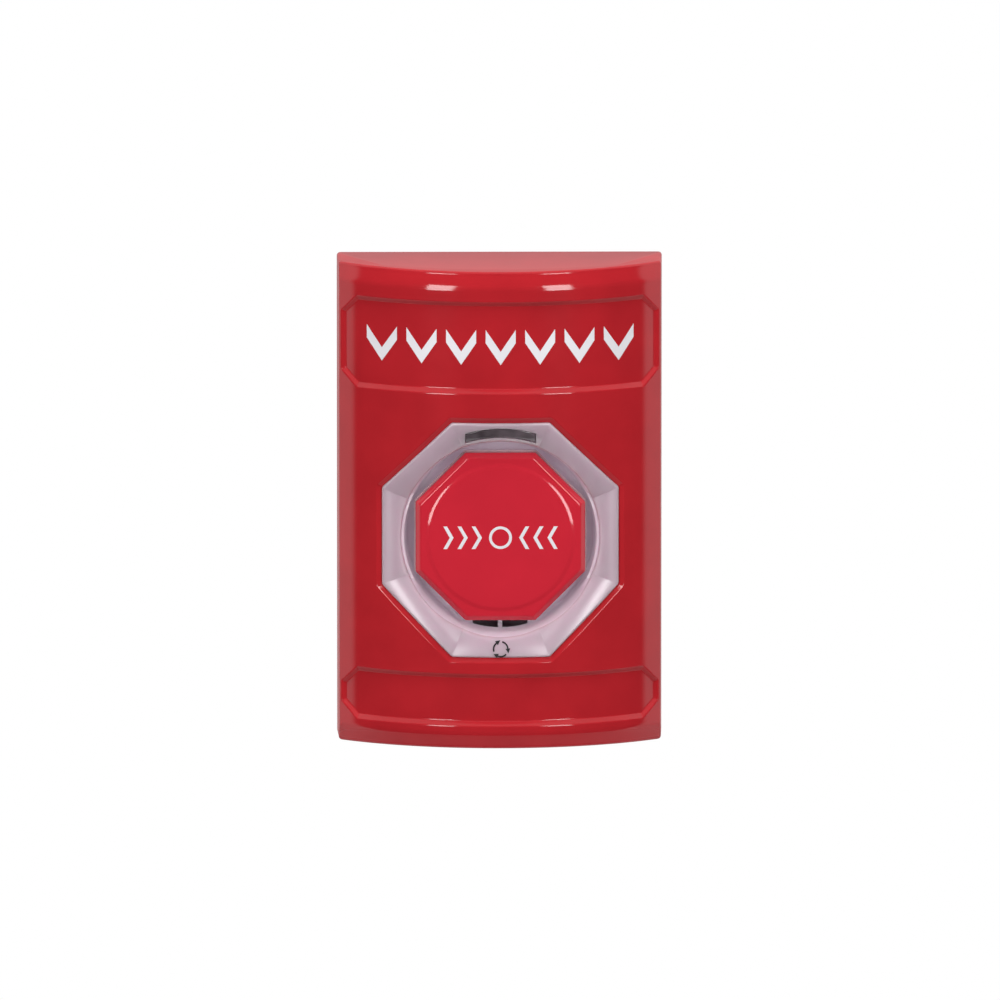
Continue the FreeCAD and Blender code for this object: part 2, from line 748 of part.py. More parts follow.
def guide_bush():
    """Headed bush: a wide bore for the spring, a close bore for the stem, and slots for latch and pin."""
    piece = new_piece("guide_bush")
    close = "(stem_radius + running_gap)"
    top = f"({BOWL_FLOOR} + overlap)"
    half_section(piece, [(close, "bush_rear"), ("bush_radius", "bush_rear"), ("bush_radius", top),
                         ("spring_bore", top), ("spring_bore", "spring_seat"), (close, "spring_seat")])
    head = new_sketch(piece, away=BOWL_FLOOR)
    outline(head, octagon_corners("2 * bush_head_radius"))
    ring(head, "spring_bore")
    pad(piece, head, "bush_head")
    leg = "(stem_radius + running_gap + latch_wire)"
    side = "(latch_wire + latch_gap)"
    for sign in (-1, 1):
        middle = f"({sign} * {leg})"
        corners = box_corners(f"{middle} - {side}", "-bush_radius - cut_over",
                              f"{middle} + {side}", "bush_radius + cut_over")
        block_cut(piece, corners, f"(latch_place - {side})", f"(latch_place + {side})")
    reach = "(bush_radius + 2 * cut_over)"
    for half_turn in (0, 180):
        corners = [("0", "0")]
        for angle in (f"({half_turn} - reset_turn - pin_play)", f"({half_turn} - reset_turn / 2)",
                      f"({half_turn} + pin_play)"):
            corners.append((f"{reach} * cos({angle} * 1 deg)", f"{reach} * sin({angle} * 1 deg)"))
        block_cut(piece, corners, "bush_rear - cut_over", "(pin_place + pin_radius + latch_gap)")
    return piece


def lock_nut():
    piece = new_piece("lock_nut")
    back = f"({CARRIER_BACK} - nut_thickness)"
    prism(piece, hexagon_corners("nut_across"), back, CARRIER_BACK)
    bore(piece, "bush_radius + running_gap", f"({back} - cut_over)", f"({CARRIER_BACK} + cut_over)")
    return piece


def return_spring():
    """Coil spring between the bush's shoulder and the cap's boss."""
    piece = new_piece("return_spring")
    length = f"({BOSS_BACK} - spring_seat - 2 * spring_wire)"
    sketch = new_sketch(piece, "XZ_Plane")
    outline(sketch, box_corners("spring_radius - spring_wire", "spring_seat", "spring_radius + spring_wire",
                                "spring_seat + 2 * spring_wire"))
    coil = piece.newObject("PartDesign::AdditiveHelix", "coil")
    coil.Profile = sketch
    coil.ReferenceAxis = (sketch, ["V_Axis"])
    coil.Mode = 0
    tie(coil, "Pitch", f"{length} / spring_turns")
    tie(coil, "Height", length)
    return piece


def latch_clip():
    """Flat spring bent to a U: its legs ride on the stem and snap into its groove."""
    piece = new_piece("latch_clip")
    inner = "(stem_radius + running_gap)"
    outer = f"({inner} + 2 * latch_wire)"
    foot = "-(bush_radius + latch_foot_reach)"
    bend = "(bush_radius + latch_bend_reach)"
    back = "(latch_place - latch_wire)"
    front = "(latch_place + latch_wire)"
    prism(piece, box_corners(f"-{outer}", foot, outer, bend), back, front)
    disc(piece, outer, back, front, [("0", bend)])
    behind = f"({back} - cut_over)"
    before = f"({front} + cut_over)"
    bore(piece, inner, behind, before, [("0", bend)])
    block_cut(piece, box_corners(f"-{inner}", f"{foot} - cut_over", inner, bend), behind, before)
    return piece


# Switches and their carrier

def switch_carrier():
    """Folded steel yoke: its web is clamped behind the bowl and its arms hold the contact blocks."""
    piece = new_piece("switch_carrier")
    outer = f"({ARM_INNER} + carrier_thickness)"
    half = "(carrier_height / 2)"
    form = prism(piece, box_corners(f"-{outer}", f"-{half}", outer, half), ARM_BACK, CARRIER_FRONT)
    between = box_corners(f"-{ARM_INNER}", f"-{half} - cut_over", ARM_INNER, f"{half} + cut_over")
    form = block_cut(piece, between, f"({ARM_BACK} - cut_over)", CARRIER_BACK)
    front = worth(CARRIER_FRONT) - TOUCH
    side = worth(outer) - TOUCH

    def is_fold(edge):
        box = edge.BoundBox
        return box.ZMin > front and max(abs(box.XMin), abs(box.XMax)) > side and box.YLength > TOUCH

    dress(piece, form, "Fillet", edges_where(form, is_fold), "carrier_thickness")
    bore(piece, "bush_radius + running_gap", f"({CARRIER_BACK} - cut_over)", f"({CARRIER_FRONT} + cut_over)")
    sketch = new_sketch(piece, "YZ_Plane", f"-{outer} - cut_over")
    ring(sketch, "side_screw_radius + screw_gap", "0", SIDE_SCREW)
    pocket(piece, sketch, f"2 * ({outer} + cut_over)", forward=True)
    return piece


def carrier_screw(body, sign):
    """One screw from the carrier's arm into a contact block: shank and head along x."""
    outer = f"({ARM_INNER} + carrier_thickness)"
    parts = [("side_screw_radius", f"({outer} - side_screw_length)", "side_screw_length"),
             ("side_screw_head_radius", outer, "side_screw_head")]
    for radius, start, length in parts:
        sketch = new_sketch(body, "YZ_Plane", start if sign > 0 else f"-({start})")
        ring(sketch, radius, "0", SIDE_SCREW)
        pad(body, sketch, length, inward=sign < 0)


def group_of(label, maker, places, y="button_middle"):
    """Like pieces gathered in one node, each a separate solid that the maker draws at its place."""
    bodies = []
    for number, place in enumerate(places, start=1):
        body = doc.addObject("PartDesign::Body", f"{label}_{number}")
        maker(body, *place)
        bodies.append(body)
    group = doc.addObject("Part::Compound", label)
    group.Links = bodies
    group.Label = label
    group.Placement.Rotation = FreeCAD.Rotation(FreeCAD.Vector(1, 0, 0), 90)
    tie(group, "Placement.Base.z", y)
    EXPORTED.append(group)
    return group


def actuator_plate():
    """Bar on the stem's tail that presses both plungers, guided between the carrier's arms."""
    piece = new_piece("actuator_plate")
    half = f"({ARM_INNER} - clear_gap)"
    tall = "(plate_height / 2)"
    prism(piece, box_corners(f"-{half}", f"-{tall}", half, tall), PLATE_BACK, PLATE_FRONT)
    bore(piece, "tail_radius + running_gap", f"({PLATE_BACK} - cut_over)", f"({PLATE_FRONT} + cut_over)")
    return piece


def contact_block(label, sign):
    """Moulded switch block: stepped terminal shelves at top and bottom, and a bore for the plunger."""
    piece = new_piece(label, f"{sign} * block_spacing / 2")
    half = "(block_width / 2)"
    tall = "(block_height / 2)"
    form = prism(piece, box_corners(f"-{half}", f"-{tall}", half, tall), BLOCK_BACK, "block_front")
    dress(piece, form, "Chamfer", upright_edges(form, "block_depth"), "block_chamfer")
    shelf = f"({tall} - shelf_height)"
    wide = f"({half} + cut_over)"
    end = f"({tall} + cut_over)"
    behind = f"({BLOCK_BACK} - cut_over)"
    block_cut(piece, box_corners(f"-{wide}", shelf, wide, end), behind, SHELF)
    block_cut(piece, box_corners(f"-{wide}", f"-{end}", wide, f"-{shelf}"), behind, SHELF)
    well = "(block_front - plunger_buried - travel - cut_over)"
    bore(piece, "plunger_radius + running_gap", well, "block_front + cut_over")
    sketch = new_sketch(piece, away=f"({SHELF} - cut_over)")
    for x, y in terminal_places():
        ring(sketch, "terminal_shank + running_gap", x, y)
    pocket(piece, sketch, "terminal_depth + clear_gap + cut_over", forward=True)
    side = new_sketch(piece, "YZ_Plane", half if sign > 0 else f"-{half}")
    ring(side, "side_screw_radius + running_gap", "0", SIDE_SCREW)
    pocket(piece, side, "side_screw_length - carrier_thickness + clear_gap", forward=sign < 0)
    return piece


def terminal_places(across="0"):
    """One terminal at the block's top and one at its bottom."""
    return [(across, f"{up} * (block_height / 2 - shelf_height / 2)") for up in (-1, 1)]


def contact_plunger(label, sign):
    piece = new_piece(label, f"{sign} * block_spacing / 2")
    disc(piece, "plunger_radius", "(block_front - plunger_buried)", PLATE_BACK)
    return piece


def terminal_spots():
    """Places of the four terminals, about the button's axis."""
    return terminal_places("-block_spacing / 2") + terminal_places("block_spacing / 2")


def terminal_clamp(body, x, y):
    half = "(clamp_width / 2)"
    back = f"({SHELF} - clamp_thickness)"
    prism(body, box_corners(f"{x} - {half}", f"{y} - {half}", f"{x} + {half}", f"{y} + {half}"), back, SHELF)
    bore(body, "terminal_shank + running_gap", f"({back} - cut_over)", f"({SHELF} + cut_over)", [(x, y)])


def terminal_screw(body, x, y):
    """Terminal screw with its head towards the rear."""
    seat = f"({SHELF} - clamp_thickness)"
    head = f"({seat} - terminal_head_height)"
    disc(body, "terminal_head", head, seat, [(x, y)])
    disc(body, "terminal_shank", seat, f"({SHELF} + terminal_depth)", [(x, y)])


# Lamp board

def light_board():
    """Octagonal ring of circuit board behind the bezel's flange."""
    piece = new_piece("light_board")
    sketch = new_sketch(piece, away=BOARD_BACK)
    outline(sketch, octagon_corners("board_across"))
    outline(sketch, octagon_corners("2 * board_inner"))
    for x, y in POSTS:
        ring(sketch, "post_radius + running_gap", x, y)
    pad(piece, sketch, "board_thickness")
    return piece


def lamp(body, x, y):
    half = "(led_size / 2)"
    corners = box_corners(f"{x} - {half}", f"{y} - {half}", f"{x} + {half}", f"{y} + {half}")
    prism(body, corners, BOARD_FRONT, FLANGE_BACK)


def ring_lamp_places():
    """One lamp behind each corner of the octagon."""
    angles = [f"({45 * number} + 22.5) * 1 deg" for number in range(8)]
    return [(f"led_place * cos({angle})", f"led_place * sin({angle})") for angle in angles]


def board_connector():
    """Two-way header on the board's rear, below the bowl."""
    piece = new_piece("board_connector")
    half = "(connector_width / 2)"
    low = "-(board_across / 2 - connector_margin)"
    high = "-(board_inner + connector_margin)"
    back = f"({BOARD_BACK} - connector_height)"
    prism(piece, box_corners(f"-{half}", low, half, high), back, BOARD_BACK)
    hollow = box_corners(f"connector_wall - {half}", f"{low} + connector_wall",
                         f"{half} - connector_wall", f"{high} - connector_wall")
    block_cut(piece, hollow, f"({back} - cut_over)", f"({BOARD_BACK} - connector_floor)")
    return piece


def bezel_screw(body, x, y):
    """Screw from the rear through one of the bezel's lugs into the housing's boss."""
    disc(body, "lug_screw_head_radius", f"({FLANGE_BACK} - lug_screw_head)", FLANGE_BACK, [(x, y)])
    disc(body, "lug_screw_radius", FLANGE_BACK, f"({FLANGE_FRONT} + lug_screw_grip)", [(x, y)])


# Mounting plate and its screws

def mounting_plate():
    """Steel plate on the wall box: window for the switches, slots at the box's spacing and folded tabs."""
    piece = new_piece("mounting_plate", y="0")
    wide = f"({PLATE_WIDTH} / 2)"
    tall = f"({PLATE_TALL} / 2)"
    form = prism(piece, box_corners(f"-{wide}", f"-{tall}", wide, tall), "0", "steel")
    dress(piece, form, "Fillet", upright_edges(form, "steel"), "plate_corner")
    window = box_corners("-window_half_width", "button_middle - window_half_height",
                         "window_half_width", "button_middle + window_half_height")
    block_cut(piece, window, "-cut_over", "steel + cut_over")
    for sign in (-1, 1):
        middle = f"({sign} * slot_spacing / 2)"
        low = f"({middle} - slot_length / 2 + slot_radius)"
        high = f"({middle} + slot_length / 2 - slot_radius)"
        bore(piece, "slot_radius", "-cut_over", "steel + cut_over", [("0", low)])
        bore(piece, "slot_radius", "-cut_over", "steel + cut_over", [("0", high)])
        middle_part = box_corners("-slot_radius", low, "slot_radius", high)
        block_cut(piece, middle_part, "-cut_over", "steel + cut_over")
    for across in (-1, 1):
        middle = f"({across} * tab_spacing / 2)"
        for up in (-1, 1):
            edge = f"({up} * {tall})"
            inner = f"({up} * ({tall} - steel))"
            low, high = (inner, edge) if up > 0 else (edge, inner)
            tab = box_corners(f"{middle} - tab_width / 2", low, f"{middle} + tab_width / 2", high)
            prism(piece, tab, "0", "tab_height")
    low_holes = new_sketch(piece, "XZ_Plane", tall)
    nub_holes = new_sketch(piece, "XZ_Plane", f"-({tall} - steel)")
    for across in (-1, 1):
        middle = f"({across} * tab_spacing / 2)"
        ring(low_holes, "screw_radius + running_gap", middle, "housing_screw_place")
        half = "(nub_width / 2 + clear_gap)"
        rise = "(nub_width / 4 + clear_gap)"
        outline(nub_holes, box_corners(f"{middle} - {half}", f"housing_screw_place - {rise}",
                                       f"{middle} + {half}", f"housing_screw_place + {rise}"))
    pocket(piece, low_holes, "steel + running_gap")
    pocket(piece, nub_holes, "steel + running_gap")
    return piece


def housing_screw(body, x):
    """Screw from below through the housing's bottom wall into the plate's tab."""
    seat = "(housing_height / 2 - screw_head - screw_sink)"
    parts = [("screw_head_radius", "screw_head", False),
             ("screw_radius", "shell_wall + steel + screw_end", True)]
    for radius, length, upward in parts:
        sketch = new_sketch(body, "XZ_Plane", seat)
        ring(sketch, radius, x, "housing_screw_place")
        pad(body, sketch, length, inward=upward)


# The whole station

housing_shell()
bezel()
indicator_lens()
button_cap()
button_skirt()
button_stem()
stop_pin()
stem_clip()
guide_bush()
lock_nut()
return_spring()
latch_clip()
switch_carrier()
group_of("carrier_screws", carrier_screw, [(1,), (-1,)])
actuator_plate()
contact_block("contact_block_right", 1)
contact_block("contact_block_left", -1)
contact_plunger("contact_plunger_right", 1)
contact_plunger("contact_plunger_left", -1)
group_of("terminal_clamps", terminal_clamp, terminal_spots())
group_of("terminal_screws", terminal_screw, terminal_spots())
light_board()
group_of("ring_leds", lamp, ring_lamp_places())
group_of("indicator_leds", lamp,
         [(f"{sign} * indicator_spacing / 2", "indicator_place") for sign in (-1, 1)])
board_connector()
group_of("bezel_screws", bezel_screw, lug_places())
mounting_plate()
group_of("housing_screws", housing_screw, [(f"{sign} * tab_spacing / 2",) for sign in (-1, 1)], "0")

doc.recompute()
for thing in doc.Objects:
    if "Invalid" in thing.State or "Error" in thing.State:
        raise RuntimeError(f"{thing.Name} failed: {thing.State}")
for piece in EXPORTED:
    if piece.Shape.isNull() or not piece.Shape.isValid() or not piece.Shape.Solids:
        raise RuntimeError(f"{piece.Label} has no valid solid")

os.makedirs("parts", exist_ok=True)
for piece in EXPORTED:
    piece.Shape.exportStep(f"parts/{piece.Label}.step")
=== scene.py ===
import math

import bmesh
import bpy
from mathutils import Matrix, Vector
from mathutils.geometry import delaunay_2d_cdt


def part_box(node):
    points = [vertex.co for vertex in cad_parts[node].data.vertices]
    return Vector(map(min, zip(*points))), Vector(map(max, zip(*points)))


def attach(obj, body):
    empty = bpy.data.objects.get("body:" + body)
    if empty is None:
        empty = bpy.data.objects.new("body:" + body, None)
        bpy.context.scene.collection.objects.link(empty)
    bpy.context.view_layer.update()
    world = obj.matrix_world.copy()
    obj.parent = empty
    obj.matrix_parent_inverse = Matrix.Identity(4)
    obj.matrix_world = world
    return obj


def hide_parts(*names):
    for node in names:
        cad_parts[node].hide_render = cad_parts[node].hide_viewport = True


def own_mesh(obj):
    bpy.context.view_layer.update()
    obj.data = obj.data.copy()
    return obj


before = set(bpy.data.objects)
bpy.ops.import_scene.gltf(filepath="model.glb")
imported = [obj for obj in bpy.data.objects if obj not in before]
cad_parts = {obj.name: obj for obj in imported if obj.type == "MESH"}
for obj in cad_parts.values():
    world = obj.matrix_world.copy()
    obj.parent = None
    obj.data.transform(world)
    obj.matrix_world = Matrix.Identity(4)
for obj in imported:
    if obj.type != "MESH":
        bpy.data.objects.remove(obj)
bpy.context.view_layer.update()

# Wall-mounted emergency push button. Metres, in the row frame: +Z up, the front faces -Y, the wall is y = 0.
# Fronts are written as a place x, z on the wall and a depth out of it, which is -y.

MM = 0.001

# Sizes from the frame
HOUSING_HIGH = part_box("housing_shell")[1]
BEZEL_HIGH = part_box("bezel")[1]
CAP_LOW, CAP_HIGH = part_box("button_cap")
LENS_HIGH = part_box("indicator_lens")[1]
SPRING_LOW, SPRING_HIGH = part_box("return_spring")
HALF_WIDTH = HOUSING_HIGH.x
HALF_HEIGHT = HOUSING_HIGH.z
BUTTON_Z = (CAP_LOW.z + CAP_HIGH.z) / 2
CAP_BACK = -CAP_HIGH.y
CAP_TOP = -CAP_LOW.y
CAP_FLAT = CAP_HIGH.x
BOWL_BACK = -BEZEL_HIGH.y
FLANGE_FLAT = BEZEL_HIGH.x
WINDOW_HALF = LENS_HIGH.x

# Housing. A profile is pairs of (distance in, height) in millimetres.
MIDDLE_DEPTH = 31.5 * MM
SIDE_DEPTH = 14.5 * MM
DRAFT = math.tan(math.radians(1.5))
SHELL_WALL = 3.0 * MM
EDGE_ROUND = 0.9 * MM
CORNER_ROUND = 0.7 * MM
CROWN_REACH = 4.4 * MM
CROWN_SLOPE = 0.44
CROWN_BEND = 0.55 * MM
UPPER_BAND = (53.8 * MM, 29.8 * MM)
LOWER_BAND = (-41.5 * MM, -55.4 * MM)
BAND_REACH = 40.45 * MM
BAND_RUN = 4.0 * MM
BAND_RISE = 4.3 * MM
BAND_DEPTH = 1.4 * MM
BAND_CORNER = 0.8 * MM
RIDGE_CORNER = 1.4 * MM
RIDGE_GAP = 0.02 * MM
RIDGE_PROFILE = ((1.8, 0), (1.5, 0), (1.42, -0.008), (1.35, -0.03), (1.28, -0.065), (1.2, -0.11), (0.8, -0.34),
                 (0.4, -0.57), (0.1, -0.74), (0.03, -0.8), (0, -0.92))

# Bezel
BEZEL_FLAT = 30.0 * MM
BEZEL_CORNER = 1.2 * MM
BEZEL_WALL = 1.6 * MM
LIP_PROFILE = ((0, 0.55), (0.02, 0.38), (0.07, 0.26), (0.15, 0.17), (0.27, 0.11), (0.42, 0.09), (0.6, 0.11),
               (0.78, 0.15))
DISH_START = 29.1 * MM
DISH_DROP = 0.17 * MM
DISH_SLOPE = 0.2
DISH_CURVE = 55
THROAT_RADIUS = 25.1 * MM
THROAT_ROUND = 0.7 * MM
BOWL_FLOOR = BOWL_BACK + BEZEL_WALL
BOWL_BEVEL = 0.9 * MM
BOWL_TAPER = 1.2 * MM
FLANGE_FRONT = 19.6 * MM
FLANGE_THICKNESS = 1.8 * MM
FLANGE_GAP = 0.5 * MM
BUSH_RADIUS = 11.05 * MM
SLOT_WIDTH = 6.4 * MM
SLOT_RIB = 1.1 * MM
SLOT_HEIGHT = 3.0 * MM
SLOT_REACH = 3.6 * MM
SLOT_CORNER = 1.1 * MM
WINDOW_INNER = 26.2 * MM
WINDOW_OUTER = 28.6 * MM
WINDOW_INSET = 0.3 * MM
WINDOW_GAP = 0.1 * MM
WINDOW_BACK = 27.4 * MM

# Button
CAP_CORNER = 0.8 * MM
CAP_BEVEL = 1.3 * MM
CAP_WALL = 2.0 * MM
CAP_ROOF = 2.0 * MM
DISC_RADIUS = 19.0 * MM
DISC_RISE = 0.38 * MM
DISC_SLOPE = 1.0 * MM
DISC_CROWN = 0.06 * MM
FACE_DEPTH = CAP_TOP - DISC_RISE

# Return spring
SPRING_WIRE = 0.7 * MM
SPRING_TURNS = 3
SPRING_STEPS = 24
WIRE_STEPS = 10

# Printed marks; a chevron's size is its width, height and stroke
PRINT_HEIGHT = 0.05 * MM
SYMBOL_HEIGHT = 0.03 * MM
BAND_CHEVRONS = 7
BAND_CHEVRON_PITCH = 10.0 * MM
BAND_CHEVRON_SIZE = (7.6 * MM, 9.0 * MM, 3.4 * MM)
BUTTON_CHEVRON_PLACES = (6.0 * MM, 9.6 * MM, 13.2 * MM)
BUTTON_CHEVRON_SIZE = (5.8 * MM, 2.6 * MM, 0.95 * MM)
BUTTON_RING = (2.9 * MM, 2.2 * MM)
SYMBOL_PLACE = 27.9 * MM
SYMBOL_RADIUS = 1.82 * MM
SYMBOL_STROKE = 0.4 * MM

BOW = MIDDLE_DEPTH - SIDE_DEPTH
SHOULDER = HALF_WIDTH - SIDE_DEPTH * DRAFT
BOW_RADIUS = (SHOULDER ** 2 + BOW ** 2) / (2 * BOW)
BOW_AXIS = MIDDLE_DEPTH - BOW_RADIUS
EIGHTH = math.radians(45)


def at(x, z, depth):
    return Vector((x, -depth, z))


def bow(x, inset=0.0):
    """Depth of the housing's bowed front at x, or of a surface that lies inside it."""
    return BOW_AXIS + math.sqrt((BOW_RADIUS - inset) ** 2 - x ** 2)


def crown(z):
    """How far the front falls back towards the housing's two ends."""
    left = (HALF_HEIGHT - MIDDLE_DEPTH * DRAFT) - abs(z)
    if left >= CROWN_REACH:
        return 0.0
    run = CROWN_REACH - max(left, 0)
    return CROWN_SLOPE * (run - CROWN_BEND * (1 - math.exp(-run / CROWN_BEND)))


def front(x, z):
    return bow(x) - crown(z)


def front_normal(x, z):
    step = 0.05 * MM
    across = (front(x + step, z) - front(x - step, z)) / (2 * step)
    up = (front(x, z + step) - front(x, z - step)) / (2 * step)
    return Vector((-across, -1, -up)).normalized()


# Outlines in the plane of the wall, as lists of (x, z)

CORNER_STEPS = 5


def rounded(corners, inset=0.0, radius=0.0, side_steps=12):
    """Points round a convex anticlockwise outline, moved in by inset, with arcs at its corners."""
    count = len(corners)
    normals = []
    for number in range(count):
        along = Vector(corners[(number + 1) % count]) - Vector(corners[number])
        normals.append(Vector((along.y, -along.x)).normalized())
    arcs = []
    for number in range(count):
        before, after = normals[number - 1], normals[number]
        reach = (inset + radius) / (1 + before.dot(after))
        middle = Vector(corners[number]) - (before + after) * reach
        first = math.atan2(before.y, before.x)
        turn = before.angle(after)
        arcs.append([middle + radius * Vector((math.cos(first + turn * step / CORNER_STEPS),
                                               math.sin(first + turn * step / CORNER_STEPS)))
                     for step in range(CORNER_STEPS + 1)])
    points = []
    for number in range(count):
        points += arcs[number]
        start, end = arcs[number][-1], arcs[(number + 1) % count][0]
        points += [start.lerp(end, step / side_steps) for step in range(1, side_steps)]
    return points


def octagon(flat, radius=0.0, side_steps=12):
    """A regular octagon about the button's axis, flat from the axis to each side."""
    reach = flat / math.cos(EIGHTH / 2)
    corners = [(reach * math.cos(EIGHTH * (number + 0.5)), BUTTON_Z + reach * math.sin(EIGHTH * (number + 0.5)))
               for number in range(8)]
    return rounded(corners, 0.0, radius, side_steps)


def on_circle(points, radius):
    """The points moved along their rays from the button's axis to a circle."""
    moved = []
    for point in points:
        ray = Vector((point.x, point.y - BUTTON_Z)).normalized() * radius
        moved.append(Vector((ray.x, ray.y + BUTTON_Z)))
    return moved


def bend(start, control, end, steps):
    """Points of a quadratic curve, its start left out."""
    points = []
    for step in range(1, steps + 1):
        t = step / steps
        points.append(start * (1 - t) ** 2 + control * 2 * t * (1 - t) + end * t ** 2)
    return points


def inside(point, outline):
    """True if a point lies in a closed outline."""
    found = False
    for number, end in enumerate(outline):
        start = outline[number - 1]
        if (start.y > point.y) != (end.y > point.y):
            cross = start.x + (point.y - start.y) * (end.x - start.x) / (end.y - start.y)
            found ^= point.x < cross
    return found


class Skin:
    """A mesh in the making."""

    def __init__(self):
        self.points = []
        self.faces = []
        self.normals = {}

    def add(self, points, normals=None):
        first = len(self.points)
        self.points += points
        numbers = list(range(first, len(self.points)))
        if normals:
            self.normals.update(zip(numbers, normals))
        return numbers

    def strip(self, one, other, closed=True):
        """Quads between two rows of as many points."""
        count = len(one)
        for number in range(count if closed else count - 1):
            following = (number + 1) % count
            self.faces.append((one[number], one[following], other[following], other[number]))

    def fan(self, row, tip):
        for number in range(len(row)):
            self.faces.append((row[number - 1], row[number], tip))

    def fill(self, outer, holes=(), flat=lambda point: Vector((point.x, point.z)), extra=()):
        """Triangles between an outer row and the rows of its holes, through the extra points."""
        rows = [outer, *holes]
        used = [number for row in rows for number in row] + list(extra)
        places = [flat(self.points[number]) for number in used]
        edges = []
        start = 0
        for row in rows:
            edges += [(start + step, start + (step + 1) % len(row)) for step in range(len(row))]
            start += len(row)
        found, _, faces, origin, _, _ = delaunay_2d_cdt(places, edges, [], 1, 1e-9)
        outlines = [[flat(self.points[number]) for number in row] for row in rows]
        for face in faces:
            middle = sum((found[corner] for corner in face), Vector((0, 0))) / 3
            if inside(middle, outlines[0]) and not any(inside(middle, hole) for hole in outlines[1:]):
                self.faces.append([used[origin[corner][0]] for corner in face])

    def object(self, name, body, material, sharp=40, replaces=(), slot=None):
        mesh = bpy.data.meshes.new(name)
        mesh.from_pydata(self.points, [], self.faces)
        shape = bmesh.new()
        shape.from_mesh(mesh)
        bmesh.ops.recalc_face_normals(shape, faces=shape.faces)
        shape.to_mesh(mesh)
        shape.free()
        return piece_of(mesh, name, body, material, sharp, replaces, self.normals)


def piece_of(mesh, name, body, material, sharp=40, replaces=(), normals=None):
    """Makes a smooth-shaded piece of a mesh, on its body."""
    mesh.polygons.foreach_set("use_smooth", [True] * len(mesh.polygons))
    mesh.set_sharp_from_angle(angle=math.radians(sharp))
    if normals:
        known = [normals.get(number, Vector((0, 0, 0))) for number in range(len(mesh.vertices))]
        mesh.normals_split_custom_set_from_vertices(known)
    mesh.materials.append(material)
    piece = bpy.data.objects.new(name, mesh)
    bpy.context.scene.collection.objects.link(piece)
    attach(piece, body)
    if replaces:
        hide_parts(*replaces)
    return piece


def cut_out(piece, cutter):
    """Takes the cutter's shape out of the piece for good."""
    cut = piece.modifiers.new("cut", "BOOLEAN")
    cut.operation = "DIFFERENCE"
    cut.solver = "EXACT"
    cut.object = cutter
    shape = bpy.data.meshes.new_from_object(piece.evaluated_get(bpy.context.evaluated_depsgraph_get()))
    piece.modifiers.clear()
    old = piece.data
    piece.data = shape
    shape.name = old.name
    bpy.data.meshes.remove(old)
    bpy.data.objects.remove(cutter)
    shape.set_sharp_from_angle(angle=math.radians(38))


# Materials

def shader(name, colour, roughness, **settings):
    material = bpy.data.materials.new(name)
    material.use_nodes = True
    surface = material.node_tree.nodes["Principled BSDF"]
    surface.inputs["Base Color"].default_value = (*colour, 1)
    surface.inputs["Roughness"].default_value = roughness
    for socket, value in settings.items():
        surface.inputs[socket.replace("_", " ")].default_value = value
    return material, surface


def link_noise(material, scale, detail=3.0):
    """Noise in the object's own metres."""
    nodes, links = material.node_tree.nodes, material.node_tree.links
    place = nodes.new("ShaderNodeTexCoord")
    noise = nodes.new("ShaderNodeTexNoise")
    noise.inputs["Scale"].default_value = scale
    noise.inputs["Detail"].default_value = detail
    links.new(place.outputs["Object"], noise.inputs["Vector"])
    return noise


def remap(nodes, links, source, low, high, to_low, to_high, smooth=False):
    """source, with low to high spread over to_low to to_high."""
    spread = nodes.new("ShaderNodeMapRange")
    if smooth:
        spread.interpolation_type = "SMOOTHSTEP"
    for socket, value in (("From Min", low), ("From Max", high), ("To Min", to_low), ("To Max", to_high)):
        spread.inputs[socket].default_value = value
    links.new(source, spread.inputs["Value"])
    return spread.outputs["Result"]


def join(nodes, links, operation, one, other):
    both = nodes.new("ShaderNodeMath")
    both.operation = operation
    links.new(one, both.inputs[0])
    links.new(other, both.inputs[1])
    return both.outputs["Value"]


def cloud_colour(nodes, links, surface, noise, colour, mottle, low, high):
    """Colours the surface a little darker and lighter after the noise."""
    shade = nodes.new("ShaderNodeValToRGB")
    for element, position, share in zip(shade.color_ramp.elements, (low, high), (1 - mottle, 1 + mottle)):
        element.position = position
        element.color = (*[min(part * share, 1) for part in colour], 1)
    links.new(noise.outputs["Fac"], shade.inputs["Fac"])
    links.new(shade.outputs["Color"], surface.inputs["Base Color"])


def bumps(nodes, links, surface, noise, strength, distance):
    bump = nodes.new("ShaderNodeBump")
    bump.inputs["Strength"].default_value = strength
    bump.inputs["Distance"].default_value = distance
    links.new(noise.outputs["Fac"], bump.inputs["Height"])
    links.new(bump.outputs["Normal"], surface.inputs["Normal"])


def moulded(name, colour, roughness, grain=0.02, grain_size=0.35 * MM, mottle=0.06, matt_sides=None, **settings):
    """Moulded plastic: mottled colour, uneven gloss and fine grain. matt_sides roughens walls and undersides."""
    material, surface = shader(name, colour, roughness, **settings)
    nodes, links = material.node_tree.nodes, material.node_tree.links
    broad = link_noise(material, 90, 4)
    cloud_colour(nodes, links, surface, broad, colour, mottle, 0.3, 0.7)
    finish = remap(nodes, links, broad.outputs["Fac"], 0, 1, roughness * 0.85, roughness * 1.2)
    if matt_sides:
        facing = nodes.new("ShaderNodeTexCoord")
        parts = nodes.new("ShaderNodeSeparateXYZ")
        links.new(facing.outputs["Normal"], parts.inputs["Vector"])
        wall = remap(nodes, links, parts.outputs["Y"], -0.35, -0.1, 0, matt_sides, smooth=True)
        below = remap(nodes, links, parts.outputs["Z"], -0.2, -0.38, 0, matt_sides, smooth=True)
        finish = join(nodes, links, "MAXIMUM", below, join(nodes, links, "MAXIMUM", wall, finish))
    links.new(finish, surface.inputs["Roughness"])
    bumps(nodes, links, surface, link_noise(material, 1 / grain_size, 2), grain, 0.1 * MM)
    return material


